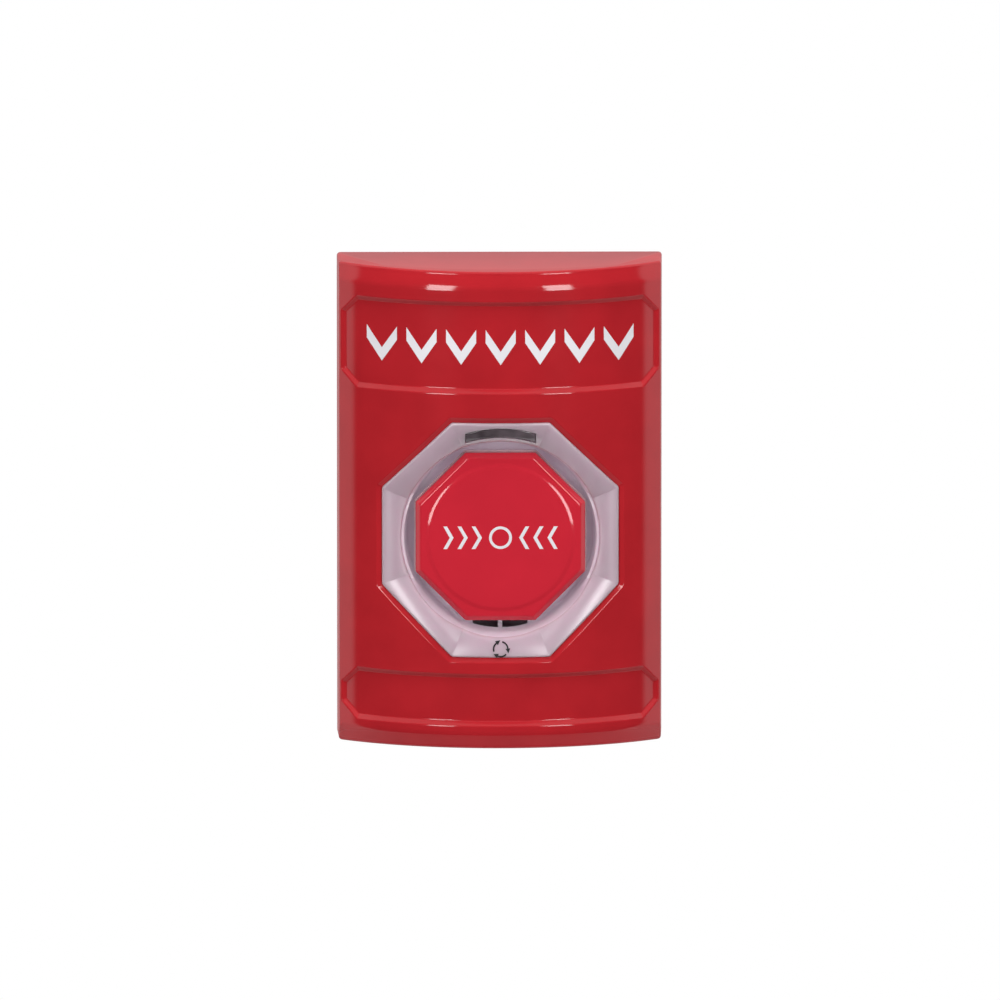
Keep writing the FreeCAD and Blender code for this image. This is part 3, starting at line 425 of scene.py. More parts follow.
def metal(name, colour, roughness, streak=(400, 4000, 400), mottle=0.12):
    """Plated or bright metal with fine streaks and a cloudy tone."""
    material, surface = shader(name, colour, roughness, Metallic=1.0)
    nodes, links = material.node_tree.nodes, material.node_tree.links
    cloud_colour(nodes, links, surface, link_noise(material, 160, 5), colour, mottle, 0.35, 0.68)
    place = nodes.new("ShaderNodeTexCoord")
    stretch = nodes.new("ShaderNodeMapping")
    stretch.inputs["Scale"].default_value = streak
    lines = nodes.new("ShaderNodeTexNoise")
    lines.inputs["Scale"].default_value = 1.0
    links.new(place.outputs["Object"], stretch.inputs["Vector"])
    links.new(stretch.outputs["Vector"], lines.inputs["Vector"])
    gloss = remap(nodes, links, lines.outputs["Fac"], 0, 1, roughness * 0.7, roughness * 1.35)
    links.new(gloss, surface.inputs["Roughness"])
    bumps(nodes, links, surface, lines, 0.05, 0.05 * MM)
    return material


RED_SHELL = moulded("red_shell", (0.455, 0.0165, 0.0235), 0.08, grain=0.02, matt_sides=0.5,
                    Specular_IOR_Level=0.5)
RED_CAP = moulded("red_cap", (0.60, 0.021, 0.039), 0.08, grain=0.008, mottle=0.03)
WHITE = moulded("white_diffuser", (0.53, 0.40, 0.465), 0.3, grain=0.01, mottle=0.02, Subsurface_Weight=1.0,
                Subsurface_Scale=5 * MM, Subsurface_Radius=(1.0, 0.8, 0.9), Specular_IOR_Level=1.0)
# Painted light: a lighter copy of the diffuser for the bowl, with a faint glow that lifts the shade in the deep gap
# round the button.
BOWL_PAINTED_GLOW = moulded("bowl_painted_glow", (0.66, 0.55, 0.635), 0.35, grain=0.01, mottle=0.02, Subsurface_Weight=1.0,
                     Subsurface_Scale=5 * MM, Subsurface_Radius=(1.0, 0.8, 0.9),
                     Emission_Color=(0.92, 0.74, 0.88, 1), Emission_Strength=0.13)
CLEAR = moulded("clear_ring", (0.85, 0.62, 0.66), 0.12, grain=0.01, mottle=0.02, Transmission_Weight=0.45)
SMOKED = moulded("smoked_window", (0.14, 0.11, 0.125), 0.12, grain=0.25, grain_size=1.2 * MM, mottle=0.85,
                 Transmission_Weight=0.3, Coat_Weight=0.4, Coat_Roughness=0.05)
PRINT = moulded("white_print", (0.80, 0.78, 0.82), 0.35, grain=0.05, mottle=0.015)
BLACK_PRINT = moulded("black_print", (0.01, 0.01, 0.012), 0.4, grain=0.05)
BLACK = moulded("black_moulding", (0.018, 0.018, 0.02), 0.42, grain=0.15)
GREY = moulded("grey_moulding", (0.25, 0.26, 0.28), 0.45, grain=0.15)
ZINC = metal("zinc_steel", (0.60, 0.61, 0.64), 0.32)
SPRING = metal("spring_steel", (0.52, 0.52, 0.54), 0.25)
BRASS = metal("brass", (0.72, 0.52, 0.24), 0.3)
BOARD = moulded("circuit_board", (0.02, 0.13, 0.05), 0.3, grain=0.1, mottle=0.2)
LAMP = moulded("lamp_body", (0.85, 0.80, 0.62), 0.25, grain=0.02)


# Housing

ROUND_STEPS = 6


def band_corners(band):
    top, bottom = band
    return [(-BAND_REACH + BAND_RUN, bottom), (BAND_REACH - BAND_RUN, bottom), (BAND_REACH, bottom + BAND_RISE),
            (BAND_REACH, top - BAND_RISE), (BAND_REACH - BAND_RUN, top), (-BAND_REACH + BAND_RUN, top),
            (-BAND_REACH, top - BAND_RISE), (-BAND_REACH, bottom + BAND_RISE)]


def band_profile():
    """How a band's edge goes down: pairs of (distance in, depth), round at the top and the foot."""
    top_round, foot_round, slope = 0.6 * MM, 0.45 * MM, math.radians(52)
    steps = [(0.0, 0.0)]
    for step in range(1, 5):
        angle = slope * step / 4
        steps.append((top_round * math.sin(angle), top_round * (1 - math.cos(angle))))
    straight = BAND_DEPTH - (top_round + foot_round) * (1 - math.cos(slope))
    start, depth = steps[-1]
    start += straight / math.tan(slope)
    depth += straight
    steps.append((start, depth))
    for step in range(1, 5):
        angle = slope * (1 - step / 4)
        steps.append((start + foot_round * (math.sin(slope) - math.sin(angle)),
                      depth + foot_round * (math.cos(angle) - math.cos(slope))))
    return steps


def grid_points(skin, outlines, low, high, step_x, step_z, place, margin=0.45 * MM):
    """Points of a grid inside the first outline, clear of it and outside the others."""
    points = []
    normals = []
    count_x = max(int((high[0] - low[0]) / step_x), 1)
    count_z = max(int((high[1] - low[1]) / step_z), 1)
    for column in range(count_x + 1):
        for row in range(count_z + 1):
            spot = Vector((low[0] + (high[0] - low[0]) * column / count_x,
                           low[1] + (high[1] - low[1]) * row / count_z))
            if not inside(spot, outlines[0]) or any(inside(spot, hole) for hole in outlines[1:]):
                continue
            if min((spot - corner).length for outline in outlines for corner in outline) < margin:
                continue
            point, normal = place(spot.x, spot.y)
            points.append(point)
            normals.append(normal)
    return skin.add(points, normals)


def on_front(x, z, sunk=0.0):
    return at(x, z, front(x, z) - sunk), front_normal(x, z)


def band(skin, corners):
    """Adds a recessed band to the skin and gives the row where it leaves the front."""
    rows = []
    for distance, depth in band_profile():
        outline = rounded(corners, distance, max(BAND_CORNER - distance * 0.3, 0.2 * MM), 30)
        rows.append(skin.add([at(x, z, front(x, z) - depth) for x, z in outline]))
    skin.normals.update((number, front_normal(skin.points[number].x, skin.points[number].z))
                        for number in rows[0] + rows[-1])
    for one, other in zip(rows, rows[1:]):
        skin.strip(one, other)
    floor = [Vector((skin.points[number].x, skin.points[number].z)) for number in rows[-1]]
    low = (min(x for x, z in floor), min(z for x, z in floor))
    high = (max(x for x, z in floor), max(z for x, z in floor))
    middle = grid_points(skin, [floor], low, high, 1.1 * MM, 3 * MM, lambda x, z: on_front(x, z, BAND_DEPTH))
    skin.fill(rows[-1], extra=middle)
    return rows[0]


def ridge(skin):
    """Adds the octagonal hole, its edge rounded down into it, and gives the rows at the front and at the hollow
    behind.
    """
    rows = []
    hole = BEZEL_FLAT + RIDGE_GAP
    for away, height in RIDGE_PROFILE:
        outline = octagon(hole + away * MM, RIDGE_CORNER, 16)
        rows.append(skin.add([at(x, z, front(x, z) + height * MM) for x, z in outline]))
    skin.normals.update((number, front_normal(skin.points[number].x, skin.points[number].z)) for number in rows[0])
    for flat in (hole, FLANGE_FLAT + FLANGE_GAP):
        rows.append(skin.add([at(x, z, FLANGE_FRONT) for x, z in octagon(flat, RIDGE_CORNER, 16)]))
    behind = octagon(FLANGE_FLAT + FLANGE_GAP, RIDGE_CORNER, 16)
    rows.append(skin.add([at(x, z, bow(x, SHELL_WALL)) for x, z in behind]))
    for one, other in zip(rows, rows[1:]):
        skin.strip(one, other)
    return rows[0], rows[-1]


def end_depth(z_sign, x, depth):
    """Height of the housing's drafted end at a depth."""
    return z_sign * (HALF_HEIGHT - depth * DRAFT)


def section_side(fall):
    """From the bowed front round the corner and down the side wall: (x, depth) for x over 0."""
    edge = SHOULDER - CORNER_ROUND * 0.5
    start = Vector((edge, bow(edge) - fall))
    corner = Vector((SHOULDER + fall * DRAFT, SIDE_DEPTH - fall))
    low = SIDE_DEPTH - fall - CORNER_ROUND
    end = Vector((HALF_WIDTH - low * DRAFT, low))
    line = bend(start, corner, end, 5)
    for step in range(1, 5):
        depth = low * (1 - step / 4)
        line.append(Vector((HALF_WIDTH - depth * DRAFT, depth)))
    return line


def housing():
    skin = Skin()
    bands = [band(skin, band_corners(UPPER_BAND)), band(skin, band_corners(LOWER_BAND))]
    hole, behind = ridge(skin)

    # the whole section from the left foot to the right foot, at the height where an end's rounding starts
    edge = SHOULDER - CORNER_ROUND * 0.5
    columns = 84
    across = [-edge + 2 * edge * number / columns for number in range(columns + 1)]

    def section(z):
        """Points of the section at a share z of the height, from -1 to 1, and the fall of the crown there."""
        def placed(x, depth):
            reach = HALF_HEIGHT - depth * DRAFT - EDGE_ROUND
            return at(x, z * reach, depth)
        guess = z * (HALF_HEIGHT - MIDDLE_DEPTH * DRAFT - EDGE_ROUND)
        fall = crown(guess)
        side = section_side(fall)
        left = [placed(-x, depth) for x, depth in reversed(side)]
        right = [placed(x, depth) for x, depth in side]
        middle = [placed(x, bow(x) - fall) for x in across]
        return left, middle, right

    near = [1 - 0.013 * step for step in range(10)]
    shares = [-share for share in near] + [(-0.87 + 1.74 * step / 46) for step in range(47)] + near[::-1]
    lefts, rights, edges_left, edges_right = [], [], [], []
    for share in shares:
        left, middle, right = section(share)
        lefts.append(left)
        rights.append(right)
        edges_left.append(middle[0])
        edges_right.append(middle[-1])
    top_row = skin.add(section(1)[1])
    bottom_row = skin.add(section(-1)[1])
    left_edge = [bottom_row[0]] + skin.add(edges_left[1:-1]) + [top_row[0]]
    right_edge = [bottom_row[-1]] + skin.add(edges_right[1:-1]) + [top_row[-1]]
    for number in top_row + bottom_row + left_edge + right_edge:
        point = skin.points[number]
        skin.normals[number] = front_normal(point.x, point.z)

    # the front between the bands, the opening and the edges
    outer = bottom_row + right_edge[1:] + top_row[::-1][1:] + left_edge[::-1][1:-1]
    rows = [outer, *bands, hole]
    outlines = [[Vector((skin.points[number].x, skin.points[number].z)) for number in row] for row in rows]
    reach = HALF_HEIGHT - 2 * MM
    middle = []
    for low, high, step in ((-reach, -54 * MM, 0.7 * MM), (-53 * MM, 53 * MM, 3 * MM), (54 * MM, reach, 0.7 * MM)):
        middle += grid_points(skin, outlines, (-edge, low), (edge, high), 1.0 * MM, step, on_front)
    skin.fill(outer, rows[1:], extra=middle)

    # the sides
    left_rows = [skin.add(row) for row in lefts]
    right_rows = [skin.add(row) for row in rights]
    for number in range(len(shares) - 1):
        skin.strip(left_rows[number] + [left_edge[number]], left_rows[number + 1] + [left_edge[number + 1]], False)
        skin.strip([right_edge[number]] + right_rows[number],
                   [right_edge[number + 1]] + right_rows[number + 1], False)

    # the rounded ends and the end faces
    feet = {}
    for sign, middle_row, side in ((1, top_row, -1), (-1, bottom_row, 0)):
        row = left_rows[side] + middle_row + right_rows[side]
        start = [skin.points[number].copy() for number in row]
        outward = []
        for number in range(len(start)):
            before = start[max(number - 1, 0)]
            after = start[min(number + 1, len(start) - 1)]
            along = after - before
            outward.append(Vector((along.y, -along.x, 0)).normalized())
        outward[0] = Vector((-1, 0, 0))
        outward[-1] = Vector((1, 0, 0))
        feet[sign] = [[row[0]], [row[-1]]]
        for step in range(1, ROUND_STEPS + 1):
            angle = math.pi / 2 * step / ROUND_STEPS
            inset = EDGE_ROUND * (1 - math.cos(angle))
            lift = EDGE_ROUND * math.sin(angle) * sign
            following = skin.add([point - away * inset + Vector((0, 0, lift))
                                  for point, away in zip(start, outward)])
            skin.strip(row, following, False)
            row = following
            feet[sign][0].append(row[0])
            feet[sign][1].append(row[-1])
        holes = []
        if sign < 0:
            holes = screw_seats(skin)
        skin.fill(row, [hole_rows[0] for hole_rows in holes], flat=lambda point: Vector((point.x, point.y)))
        inner_wall(skin, sign, [hole_rows[1] for hole_rows in holes], feet)

    # the rear rim
    rear = ([rows_[0] for rows_ in left_rows[::-1]] + feet[-1][0][1:] + feet[-1][1][::-1][:-1]
            + [rows_[-1] for rows_ in right_rows] + feet[1][1][1:] + feet[1][0][::-1][:-1])
    inner = [feet["left"][0], feet["right"][0], feet["right"][1], feet["left"][1]]
    skin.fill(rear, [inner])

    # the hollow behind the front
    front_low, front_high = feet["front"]
    outer = front_low + front_high[::-1]
    outlines = [[Vector((skin.points[number].x, skin.points[number].z)) for number in row] for row in (outer, behind)]
    half = HALF_HEIGHT - SHELL_WALL
    shoulder = SHOULDER - SHELL_WALL
    spots = grid_points(skin, outlines, (-shoulder, -half), (shoulder, half), 2.5 * MM, 6 * MM,
                        lambda x, z: (at(x, z, bow(x, SHELL_WALL)),
                                      Vector((x, -(bow(x) - BOW_AXIS), 0)).normalized() * -1))
    skin.fill(outer, [behind], extra=spots)
    for side, end in (("left", 0), ("right", -1)):
        skin.faces.append((feet[side][0], feet[side][1], front_high[end], front_low[end]))
    return skin.object("housing", "station", RED_SHELL, 36, ["housing_shell"], "red_shell")


def inner_wall(skin, sign, holes, feet):
    """The inside of one end wall, between its foot and the inside of the front."""
    half = sign * (HALF_HEIGHT - SHELL_WALL)
    foot = HALF_WIDTH - SHELL_WALL
    shoulder = SHOULDER - SHELL_WALL
    steps = 40
    arc = skin.add([at(x, half, bow(x, SHELL_WALL)) for x in
                    (-shoulder + 2 * shoulder * number / steps for number in range(steps + 1))])
    low = skin.add([at(-foot, half, 0), at(foot, half, 0)])
    feet.setdefault("front", [None, None])[0 if sign < 0 else 1] = arc
    feet.setdefault("left", [None, None])[0 if sign < 0 else 1] = low[0]
    feet.setdefault("right", [None, None])[0 if sign < 0 else 1] = low[1]
    skin.fill([low[1], *arc[::-1], low[0]][::-1], holes, flat=lambda point: Vector((point.x, point.y)))


def screw_seats(skin):
    """The two countersunk holes in the bottom wall: for each, its outer and its inner row."""
    found = []
    low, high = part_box("housing_screws")
    head = (high.y - low.y) / 2
    depth = -(low.y + high.y) / 2
    for x in (low.x + head, high.x - head):
        rows = []
        seat = low.z + 1.6 * MM
        hole = head + 0.2 * MM
        bore = 1.7 * MM
        for radius, z in ((hole, None), (hole, seat), (bore, seat), (bore, -(HALF_HEIGHT - SHELL_WALL))):
            ring = []
            for step in range(40):
                angle = 2 * math.pi * step / 40
                out = depth + radius * math.sin(angle)
                height = end_depth(-1, x, out) if z is None else z
                ring.append(at(x + radius * math.cos(angle), height, out))
            rows.append(skin.add(ring))
        for one, other in zip(rows, rows[1:]):
            skin.strip(one, other)
        found.append((rows[0], rows[-1]))
    return found


# Bezel

def window_points(grow, steps=14):
    """The indicator window's outline: a bar between two arcs about the button's axis."""
    half = WINDOW_HALF + grow
    points = []
    for radius, start in ((WINDOW_INNER - grow, -1), (WINDOW_OUTER + grow, 1)):
        for step in range(steps + 1):
            x = start * half * (2 * step / steps - 1) * -1
            points.append(Vector((x, BUTTON_Z + math.sqrt(radius ** 2 - x ** 2))))
    return points


def flat_distance(spot):
    """How far the octagonal ring through a place lies from the button's axis."""
    return max(spot.x * math.cos(EIGHTH * number) + (spot.y - BUTTON_Z) * math.sin(EIGHTH * number)
               for number in range(8))


def dish_depth(spot):
    """Depth of the bezel's dished front, which falls in flat facets behind the bowed front."""
    run = DISH_START - flat_distance(spot)
    return bow(spot.x) - DISH_DROP - DISH_SLOPE * run - DISH_CURVE * run ** 2


def bezel():
    """The white moulding: lip, eight facets that follow the bowed front, round throat and bowl."""
    skin = Skin()
    rows = []

    def ring(flat, depth, corner=BEZEL_CORNER):
        rows.append(skin.add([at(x, z, depth) for x, z in octagon(flat, corner)]))

    def bowed_ring(flat, drop):
        rows.append(skin.add([at(x, z, bow(x) - drop) for x, z in octagon(flat, BEZEL_CORNER)]))

    def round_ring(radius, depth):
        rows.append(skin.add([at(x, z, depth) for x, z in on_circle(octagon(BEZEL_FLAT), radius)]))

    back = FLANGE_FRONT - FLANGE_THICKNESS
    ring(FLANGE_FLAT, back)
    ring(FLANGE_FLAT, FLANGE_FRONT)
    ring(BEZEL_FLAT, FLANGE_FRONT)
    for away, drop in LIP_PROFILE:
        bowed_ring(BEZEL_FLAT - away * MM, drop * MM)
    start = octagon(DISH_START, BEZEL_CORNER)
    end = on_circle(octagon(BEZEL_FLAT), THROAT_RADIUS)
    lines = []
    for upper, lower in zip(start, end):
        near = lower + (upper - lower).normalized() * THROAT_ROUND
        places = [upper.lerp(near, step / 6) for step in range(7)]
        line = [at(spot.x, spot.y, dish_depth(spot)) for spot in places]
        corner = at(lower.x, lower.y, dish_depth(lower))
        line += bend(line[-1], corner, corner + Vector((0, THROAT_ROUND, 0)), 5)
        lines.append(line)
    for points in zip(*lines):
        rows.append(skin.add(list(points)))
    bowl_start = len(rows) - 1
    foot = THROAT_RADIUS - BOWL_TAPER
    round_ring(foot + BOWL_TAPER / 2, BOWL_FLOOR + BOWL_BEVEL + 6 * MM)
    round_ring(foot, BOWL_FLOOR + BOWL_BEVEL)
    for step in range(1, ROUND_STEPS + 1):
        angle = math.pi / 2 * step / ROUND_STEPS
        round_ring(foot - BOWL_BEVEL * (1 - math.cos(angle)), BOWL_FLOOR + BOWL_BEVEL * (1 - math.sin(angle)))
    round_ring(BUSH_RADIUS, BOWL_FLOOR)
    bowl_end = len(rows) - 1
    round_ring(BUSH_RADIUS, BOWL_BACK)
    outer = THROAT_RADIUS + BEZEL_WALL
    round_ring(outer, BOWL_BACK)
    inner_front = BEZEL_WALL + 1.6 * MM
    rows.append(skin.add([at(x, z, bow(x) - inner_front) for x, z in on_circle(octagon(BEZEL_FLAT), outer)]))
    bowed_ring(BEZEL_FLAT - BEZEL_WALL, inner_front)
    ring(BEZEL_FLAT - BEZEL_WALL, back)
    for one, other in zip(rows, rows[1:] + rows[:1]):
        skin.strip(one, other)
    piece = skin.object("bezel_moulding", "station", WHITE, 30, ["bezel"], "white_diffuser")
    # painted light: the bowl's faces take the lighter, faintly glowing copy of the diffuser in place of the shade
    # there
    piece.data.materials.append(BOWL_PAINTED_GLOW)
    around = len(rows[0])
    for face in piece.data.polygons[bowl_start * around:bowl_end * around]:
        face.material_index = 1

    cutter = Skin()
    outline = window_points(WINDOW_GAP)
    front_row = cutter.add([at(x, z, MIDDLE_DEPTH + 1 * MM) for x, z in outline])
    back_row = cutter.add([at(x, z, WINDOW_BACK) for x, z in outline])
    cutter.strip(front_row, back_row)
    cutter.fill(front_row)
    cutter.fill(back_row)
    for side in (-1, 1):
        xs = sorted((side * SLOT_RIB / 2, side * (SLOT_RIB / 2 + SLOT_WIDTH)))
        low_z, high_z = BUTTON_Z - outer - 0.3 * MM, BUTTON_Z - THROAT_RADIUS + SLOT_REACH
        corners = [(xs[0], low_z), (xs[1], low_z), (xs[1], high_z), (xs[0], high_z)]
        slot = rounded(corners, 0.0, SLOT_CORNER, 2)
        one = cutter.add([at(x, z, BOWL_FLOOR + SLOT_HEIGHT) for x, z in slot])
        two = cutter.add([at(x, z, BOWL_BACK - 1 * MM) for x, z in slot])
        cutter.strip(one, two)
        cutter.fill(one)
        cutter.fill(two)
    tool = cutter.object("cutter", "station", WHITE)
    cut_out(piece, tool)
    return piece


def indicator():
    """The smoked window: its front follows the dish, with a soft edge."""
    skin = Skin()

    def top(spot, drop):
        return dish_depth(spot) - WINDOW_INSET - drop

    rows = []
    for inset, drop in ((0.0, 0.35 * MM), (0.04 * MM, 0.18 * MM), (0.12 * MM, 0.06 * MM), (0.3 * MM, 0.0)):
        rows.append(skin.add([at(spot.x, spot.y, top(spot, drop)) for spot in window_points(-inset)]))
    back = skin.add([at(x, z, WINDOW_BACK) for x, z in window_points(0.0)])
    skin.strip(back, rows[0])
    for one, other in zip(rows, rows[1:]):
        skin.strip(one, other)
    skin.fill(rows[-1])
    skin.fill(back)
    return skin.object("indicator_window", "station", SMOKED, 50, ["indicator_lens"], "smoked_window")


# Button

def button():
    """The red cap: octagonal with bevelled edges, and a raised round face."""
    skin = Skin()
    rows = []

    def ring(flat, depth, corner=CAP_CORNER):
        rows.append(skin.add([at(x, z, depth) for x, z in octagon(flat, corner)]))

    def round_ring(radius, depth):
        rows.append(skin.add([at(x, z, depth) for x, z in on_circle(octagon(CAP_FLAT), radius)]))

    ring(CAP_FLAT - CAP_WALL, CAP_BACK)
    ring(CAP_FLAT - 0.15 * MM, CAP_BACK)
    ring(CAP_FLAT, CAP_BACK + 0.15 * MM)
    edge = 0.35 * MM
    start = Vector((CAP_FLAT, FACE_DEPTH - CAP_BEVEL))
    end = Vector((CAP_FLAT - CAP_BEVEL, FACE_DEPTH))
    slope = (end - start).normalized()
    for flat, depth in [start - Vector((0, edge)), *bend(start - Vector((0, edge)), start, start + slope * edge, 3),
                        end - slope * edge, *bend(end - slope * edge, end, end - Vector((edge, 0)), 3)]:
        ring(flat, depth)
    base = 0.35 * MM
    foot = Vector((DISC_RADIUS, FACE_DEPTH))
    head = Vector((DISC_RADIUS - DISC_SLOPE, CAP_TOP - DISC_CROWN))
    rise = (head - foot).normalized()
    for radius, depth in [foot + Vector((base, 0)), *bend(foot + Vector((base, 0)), foot, foot + rise * base, 4),
                          head - rise * base, *bend(head - rise * base, head, head - Vector((base * 1.6, 0)), 4)]:
        round_ring(radius, depth)
    for share in (0.75, 0.5, 0.25):
        round_ring(DISC_RADIUS * share, CAP_TOP - DISC_CROWN * share ** 2)
    for one, other in zip(rows, rows[1:]):
        skin.strip(one, other)
    tip = skin.add([at(0, BUTTON_Z, CAP_TOP)])[0]
    skin.fan(rows[-1], tip)
    roof = skin.add([at(x, z, FACE_DEPTH - CAP_ROOF) for x, z in octagon(CAP_FLAT - CAP_WALL, CAP_CORNER)])
    skin.strip(rows[0], roof)
    skin.fan(roof, skin.add([at(0, BUTTON_Z, FACE_DEPTH - CAP_ROOF)])[0])
    return skin.object("red_button", "button", RED_CAP, 50, ["button_cap"], "red_cap")


# Printed marks

def mark(skin, outline, place, holes=(), thickness=PRINT_HEIGHT):
    """A thin printed shape that follows a surface. place gives a point at x, z raised by a height."""
    spots = [Vector(spot) for spot in outline]
    fine = []
    for number, end in enumerate(spots):
        start = spots[number - 1]
        count = max(int((end - start).length / (0.8 * MM)), 1)
        fine += [start.lerp(end, step / count) for step in range(count)]
    tops = [skin.add([place(x, z, thickness) for x, z in fine])]
    feet = [skin.add([place(x, z, -thickness) for x, z in fine])]
    for hole in holes:
        tops.append(skin.add([place(x, z, thickness) for x, z in hole]))
        feet.append(skin.add([place(x, z, -thickness) for x, z in hole]))
    for one, other in zip(tops, feet):
        skin.strip(one, other)
    skin.fill(tops[0], tops[1:])
    skin.fill(feet[0], feet[1:])


def chevron(x, z, wide, tall, stroke, down=True):
    """A V about its middle, pointing down, or to the right where down is false."""
    half = wide / 2
    rise = tall - stroke
    shape = [(-half, rise / 2 + stroke / 2), (0, -rise / 2 + stroke / 2), (half, rise / 2 + stroke / 2),
             (half, rise / 2 - stroke / 2), (0, -rise / 2 - stroke / 2), (-half, rise / 2 - stroke / 2)]
    if not down:
        shape = [(-b, a) for a, b in shape]
    return [(x + a, z + b) for a, b in shape]


def on_band(x, z, height):
    return at(x, z, bow(x) - BAND_DEPTH + height)


def on_face(x, z, height):
    crown_fall = DISC_CROWN * min(Vector((x, z - BUTTON_Z)).length / DISC_RADIUS, 1) ** 2
    return at(x, z, CAP_TOP - crown_fall + height - 0.045 * MM)


def on_lower_facet(x, z, height):
    spot = Vector((x, z))
    normal = Vector((0, -1, 0.4)).normalized()
    return at(x, z, dish_depth(spot)) + normal * height


def band_marks():
    skin = Skin()
    middle = (UPPER_BAND[0] + UPPER_BAND[1]) / 2
    for number in range(BAND_CHEVRONS):
        x = (number - (BAND_CHEVRONS - 1) / 2) * BAND_CHEVRON_PITCH
        mark(skin, chevron(x, middle, *BAND_CHEVRON_SIZE), on_band)
    return skin.object("band_marks", "station", PRINT, 30, slot="white_diffuser")


def button_marks():
    skin = Skin()
    ring, hole = [[(radius * math.cos(step * math.pi / 24), BUTTON_Z + radius * math.sin(step * math.pi / 24))
                   for step in range(48)] for radius in BUTTON_RING]
    mark(skin, ring, on_face, [hole])
    shape = chevron(0, 0, *BUTTON_CHEVRON_SIZE, down=False)
    for side in (-1, 1):
        for place in BUTTON_CHEVRON_PLACES:
            mark(skin, [(side * (place - x), BUTTON_Z + z) for x, z in shape], on_face)
    return skin.object("button_marks", "button", PRINT, 30, slot="white_diffuser")


def turn_symbol():
    """Three clockwise arrows on the bezel's lower facet."""
    skin = Skin()
    middle = BUTTON_Z - SYMBOL_PLACE
    for third in range(3):
        start = math.radians(120 * third + 90 - 12)
        sweep = math.radians(-72)
        outer, inner = [], []
        for step in range(9):
            angle = start + sweep * step / 8
            ray = Vector((math.cos(angle), math.sin(angle)))
            outer.append(ray * (SYMBOL_RADIUS + SYMBOL_STROKE / 2))
            inner.append(ray * (SYMBOL_RADIUS - SYMBOL_STROKE / 2))
        angle = start + sweep
        ray = Vector((math.cos(angle), math.sin(angle)))
        along = Vector((ray.y, -ray.x))
        head = [ray * (SYMBOL_RADIUS + SYMBOL_STROKE * 1.5), ray * SYMBOL_RADIUS + along * SYMBOL_STROKE * 3,
                ray * (SYMBOL_RADIUS - SYMBOL_STROKE * 1.5)]
        shape = outer + head + inner[::-1]
        mark(skin, [(spot.x, middle + spot.y) for spot in shape], on_lower_facet, thickness=SYMBOL_HEIGHT)
    return skin.object("turn_symbol", "station", BLACK_PRINT, 30, slot="black_moulding")


# Return spring

def spring():
    """The coil between the bush and the cap, with its rear end on the bush. It is built at one length and does not
    shorten.
    """
    skin = Skin()
    back = -SPRING_HIGH.y
    front = -SPRING_LOW.y
    count = SPRING_TURNS * SPRING_STEPS
    rows = []
    for step in range(count + 1):
        depth = back + SPRING_WIRE + (front - back - 2 * SPRING_WIRE) * step / count
        angle = 2 * math.pi * step / SPRING_STEPS
        wire = []
        for corner in range(WIRE_STEPS):
            round_wire = 2 * math.pi * corner / WIRE_STEPS
            reach = SPRING_HIGH.x - SPRING_WIRE + SPRING_WIRE * math.cos(round_wire)
            wire.append(at(reach * math.cos(angle), BUTTON_Z + reach * math.sin(angle),
                           depth + SPRING_WIRE * math.sin(round_wire)))
        rows.append(skin.add(wire))
    for one, other in zip(rows, rows[1:]):
        skin.strip(one, other)
    for row in (rows[0], rows[-1]):
        skin.fan(row, skin.add([sum((skin.points[number] for number in row), Vector()) / len(row)])[0])
    piece = skin.object("return_coil", "station", SPRING, 40, ["return_spring"], "spring_steel")
    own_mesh(piece)


# The other pieces keep their CAD shape

DRESS = {
    "button_skirt": (CLEAR, 0.1),
    "button_stem": (GREY, 0.1),
    "stop_pin": (SPRING, 0.05),
    "stem_clip": (SPRING, 0.08),
    "guide_bush": (BLACK, 0.15),
    "lock_nut": (BLACK, 0.2),
    "latch_clip": (SPRING, 0.1),
    "switch_carrier": (ZINC, 0.12),
    "carrier_screws": (ZINC, 0.12),
    "actuator_plate": (ZINC, 0.12),
    "contact_block_right": (GREY, 0.3),
    "contact_block_left": (GREY, 0.3),
    "contact_plunger_right": (BLACK, 0.15),
    "contact_plunger_left": (BLACK, 0.15),
    "terminal_clamps": (BRASS, 0.1),
    "terminal_screws": (ZINC, 0.15),
    "light_board": (BOARD, 0.05),
    "ring_leds": (LAMP, 0.08),
    "indicator_leds": (LAMP, 0.08),
    "board_connector": (BLACK, 0.1),
    "bezel_screws": (ZINC, 0.12),
    "mounting_plate": (ZINC, 0.15),
    "housing_screws": (ZINC, 0.15),
}


def dress(node, material, bevel):
    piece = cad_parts[node]
    if not piece.material_slots:
        piece.data.materials.append(material)
    for slot in piece.material_slots:
        slot.material = material
    weld = piece.modifiers.new("weld", "WELD")
    weld.merge_threshold = 1e-6
    soften = piece.modifiers.new("bevel", "BEVEL")
    soften.width = bevel * MM
    soften.segments = 2
    soften.limit_method = "ANGLE"
    soften.angle_limit = math.radians(40)
    shade = piece.modifiers.new("shade", "WEIGHTED_NORMAL")
    shade.keep_sharp = False


housing()
bezel()
indicator()
button()
band_marks()
button_marks()
turn_symbol()
spring()
for node, (material, bevel) in DRESS.items():
    dress(node, material, bevel)


# Stage, light and camera

# Pairs of (place on the ramp, strength); a direction's -1 is 0 on the ramp and 1 is 1
STUDIO_ROUND = ((0.0, 0.03), (0.40, 0.03), (0.425, 0.2), (0.65, 0.2), (0.8, 0.6), (1.0, 0.6))
STUDIO_ABOVE = ((0.0, 0.0), (0.80, 0.0), (0.92, 0.4))
# What reflections see of the white background
BACKDROP = ((0.0, 0.0), (0.40, 0.0), (0.425, 1.0))
BACKDROP_HEIGHT = ((0.0, 1.0), (0.85, 1.0), (0.93, 0.3))

FLOOR_Z = -0.45
FLOOR_SIDE = 1.1
FLOOR_NEAR, FLOOR_FAR = -0.2, 1.75
FLOOR_WHITE = 0.85

LAMP_AIM = Vector((0, -0.02, 0))

AIM = Vector((0, -16 * MM, 0.55 * MM))
LENS = 851
DISTANCE = 6.0
AZIMUTH = math.radians(-0.7)
ELEVATION = math.radians(9.0)


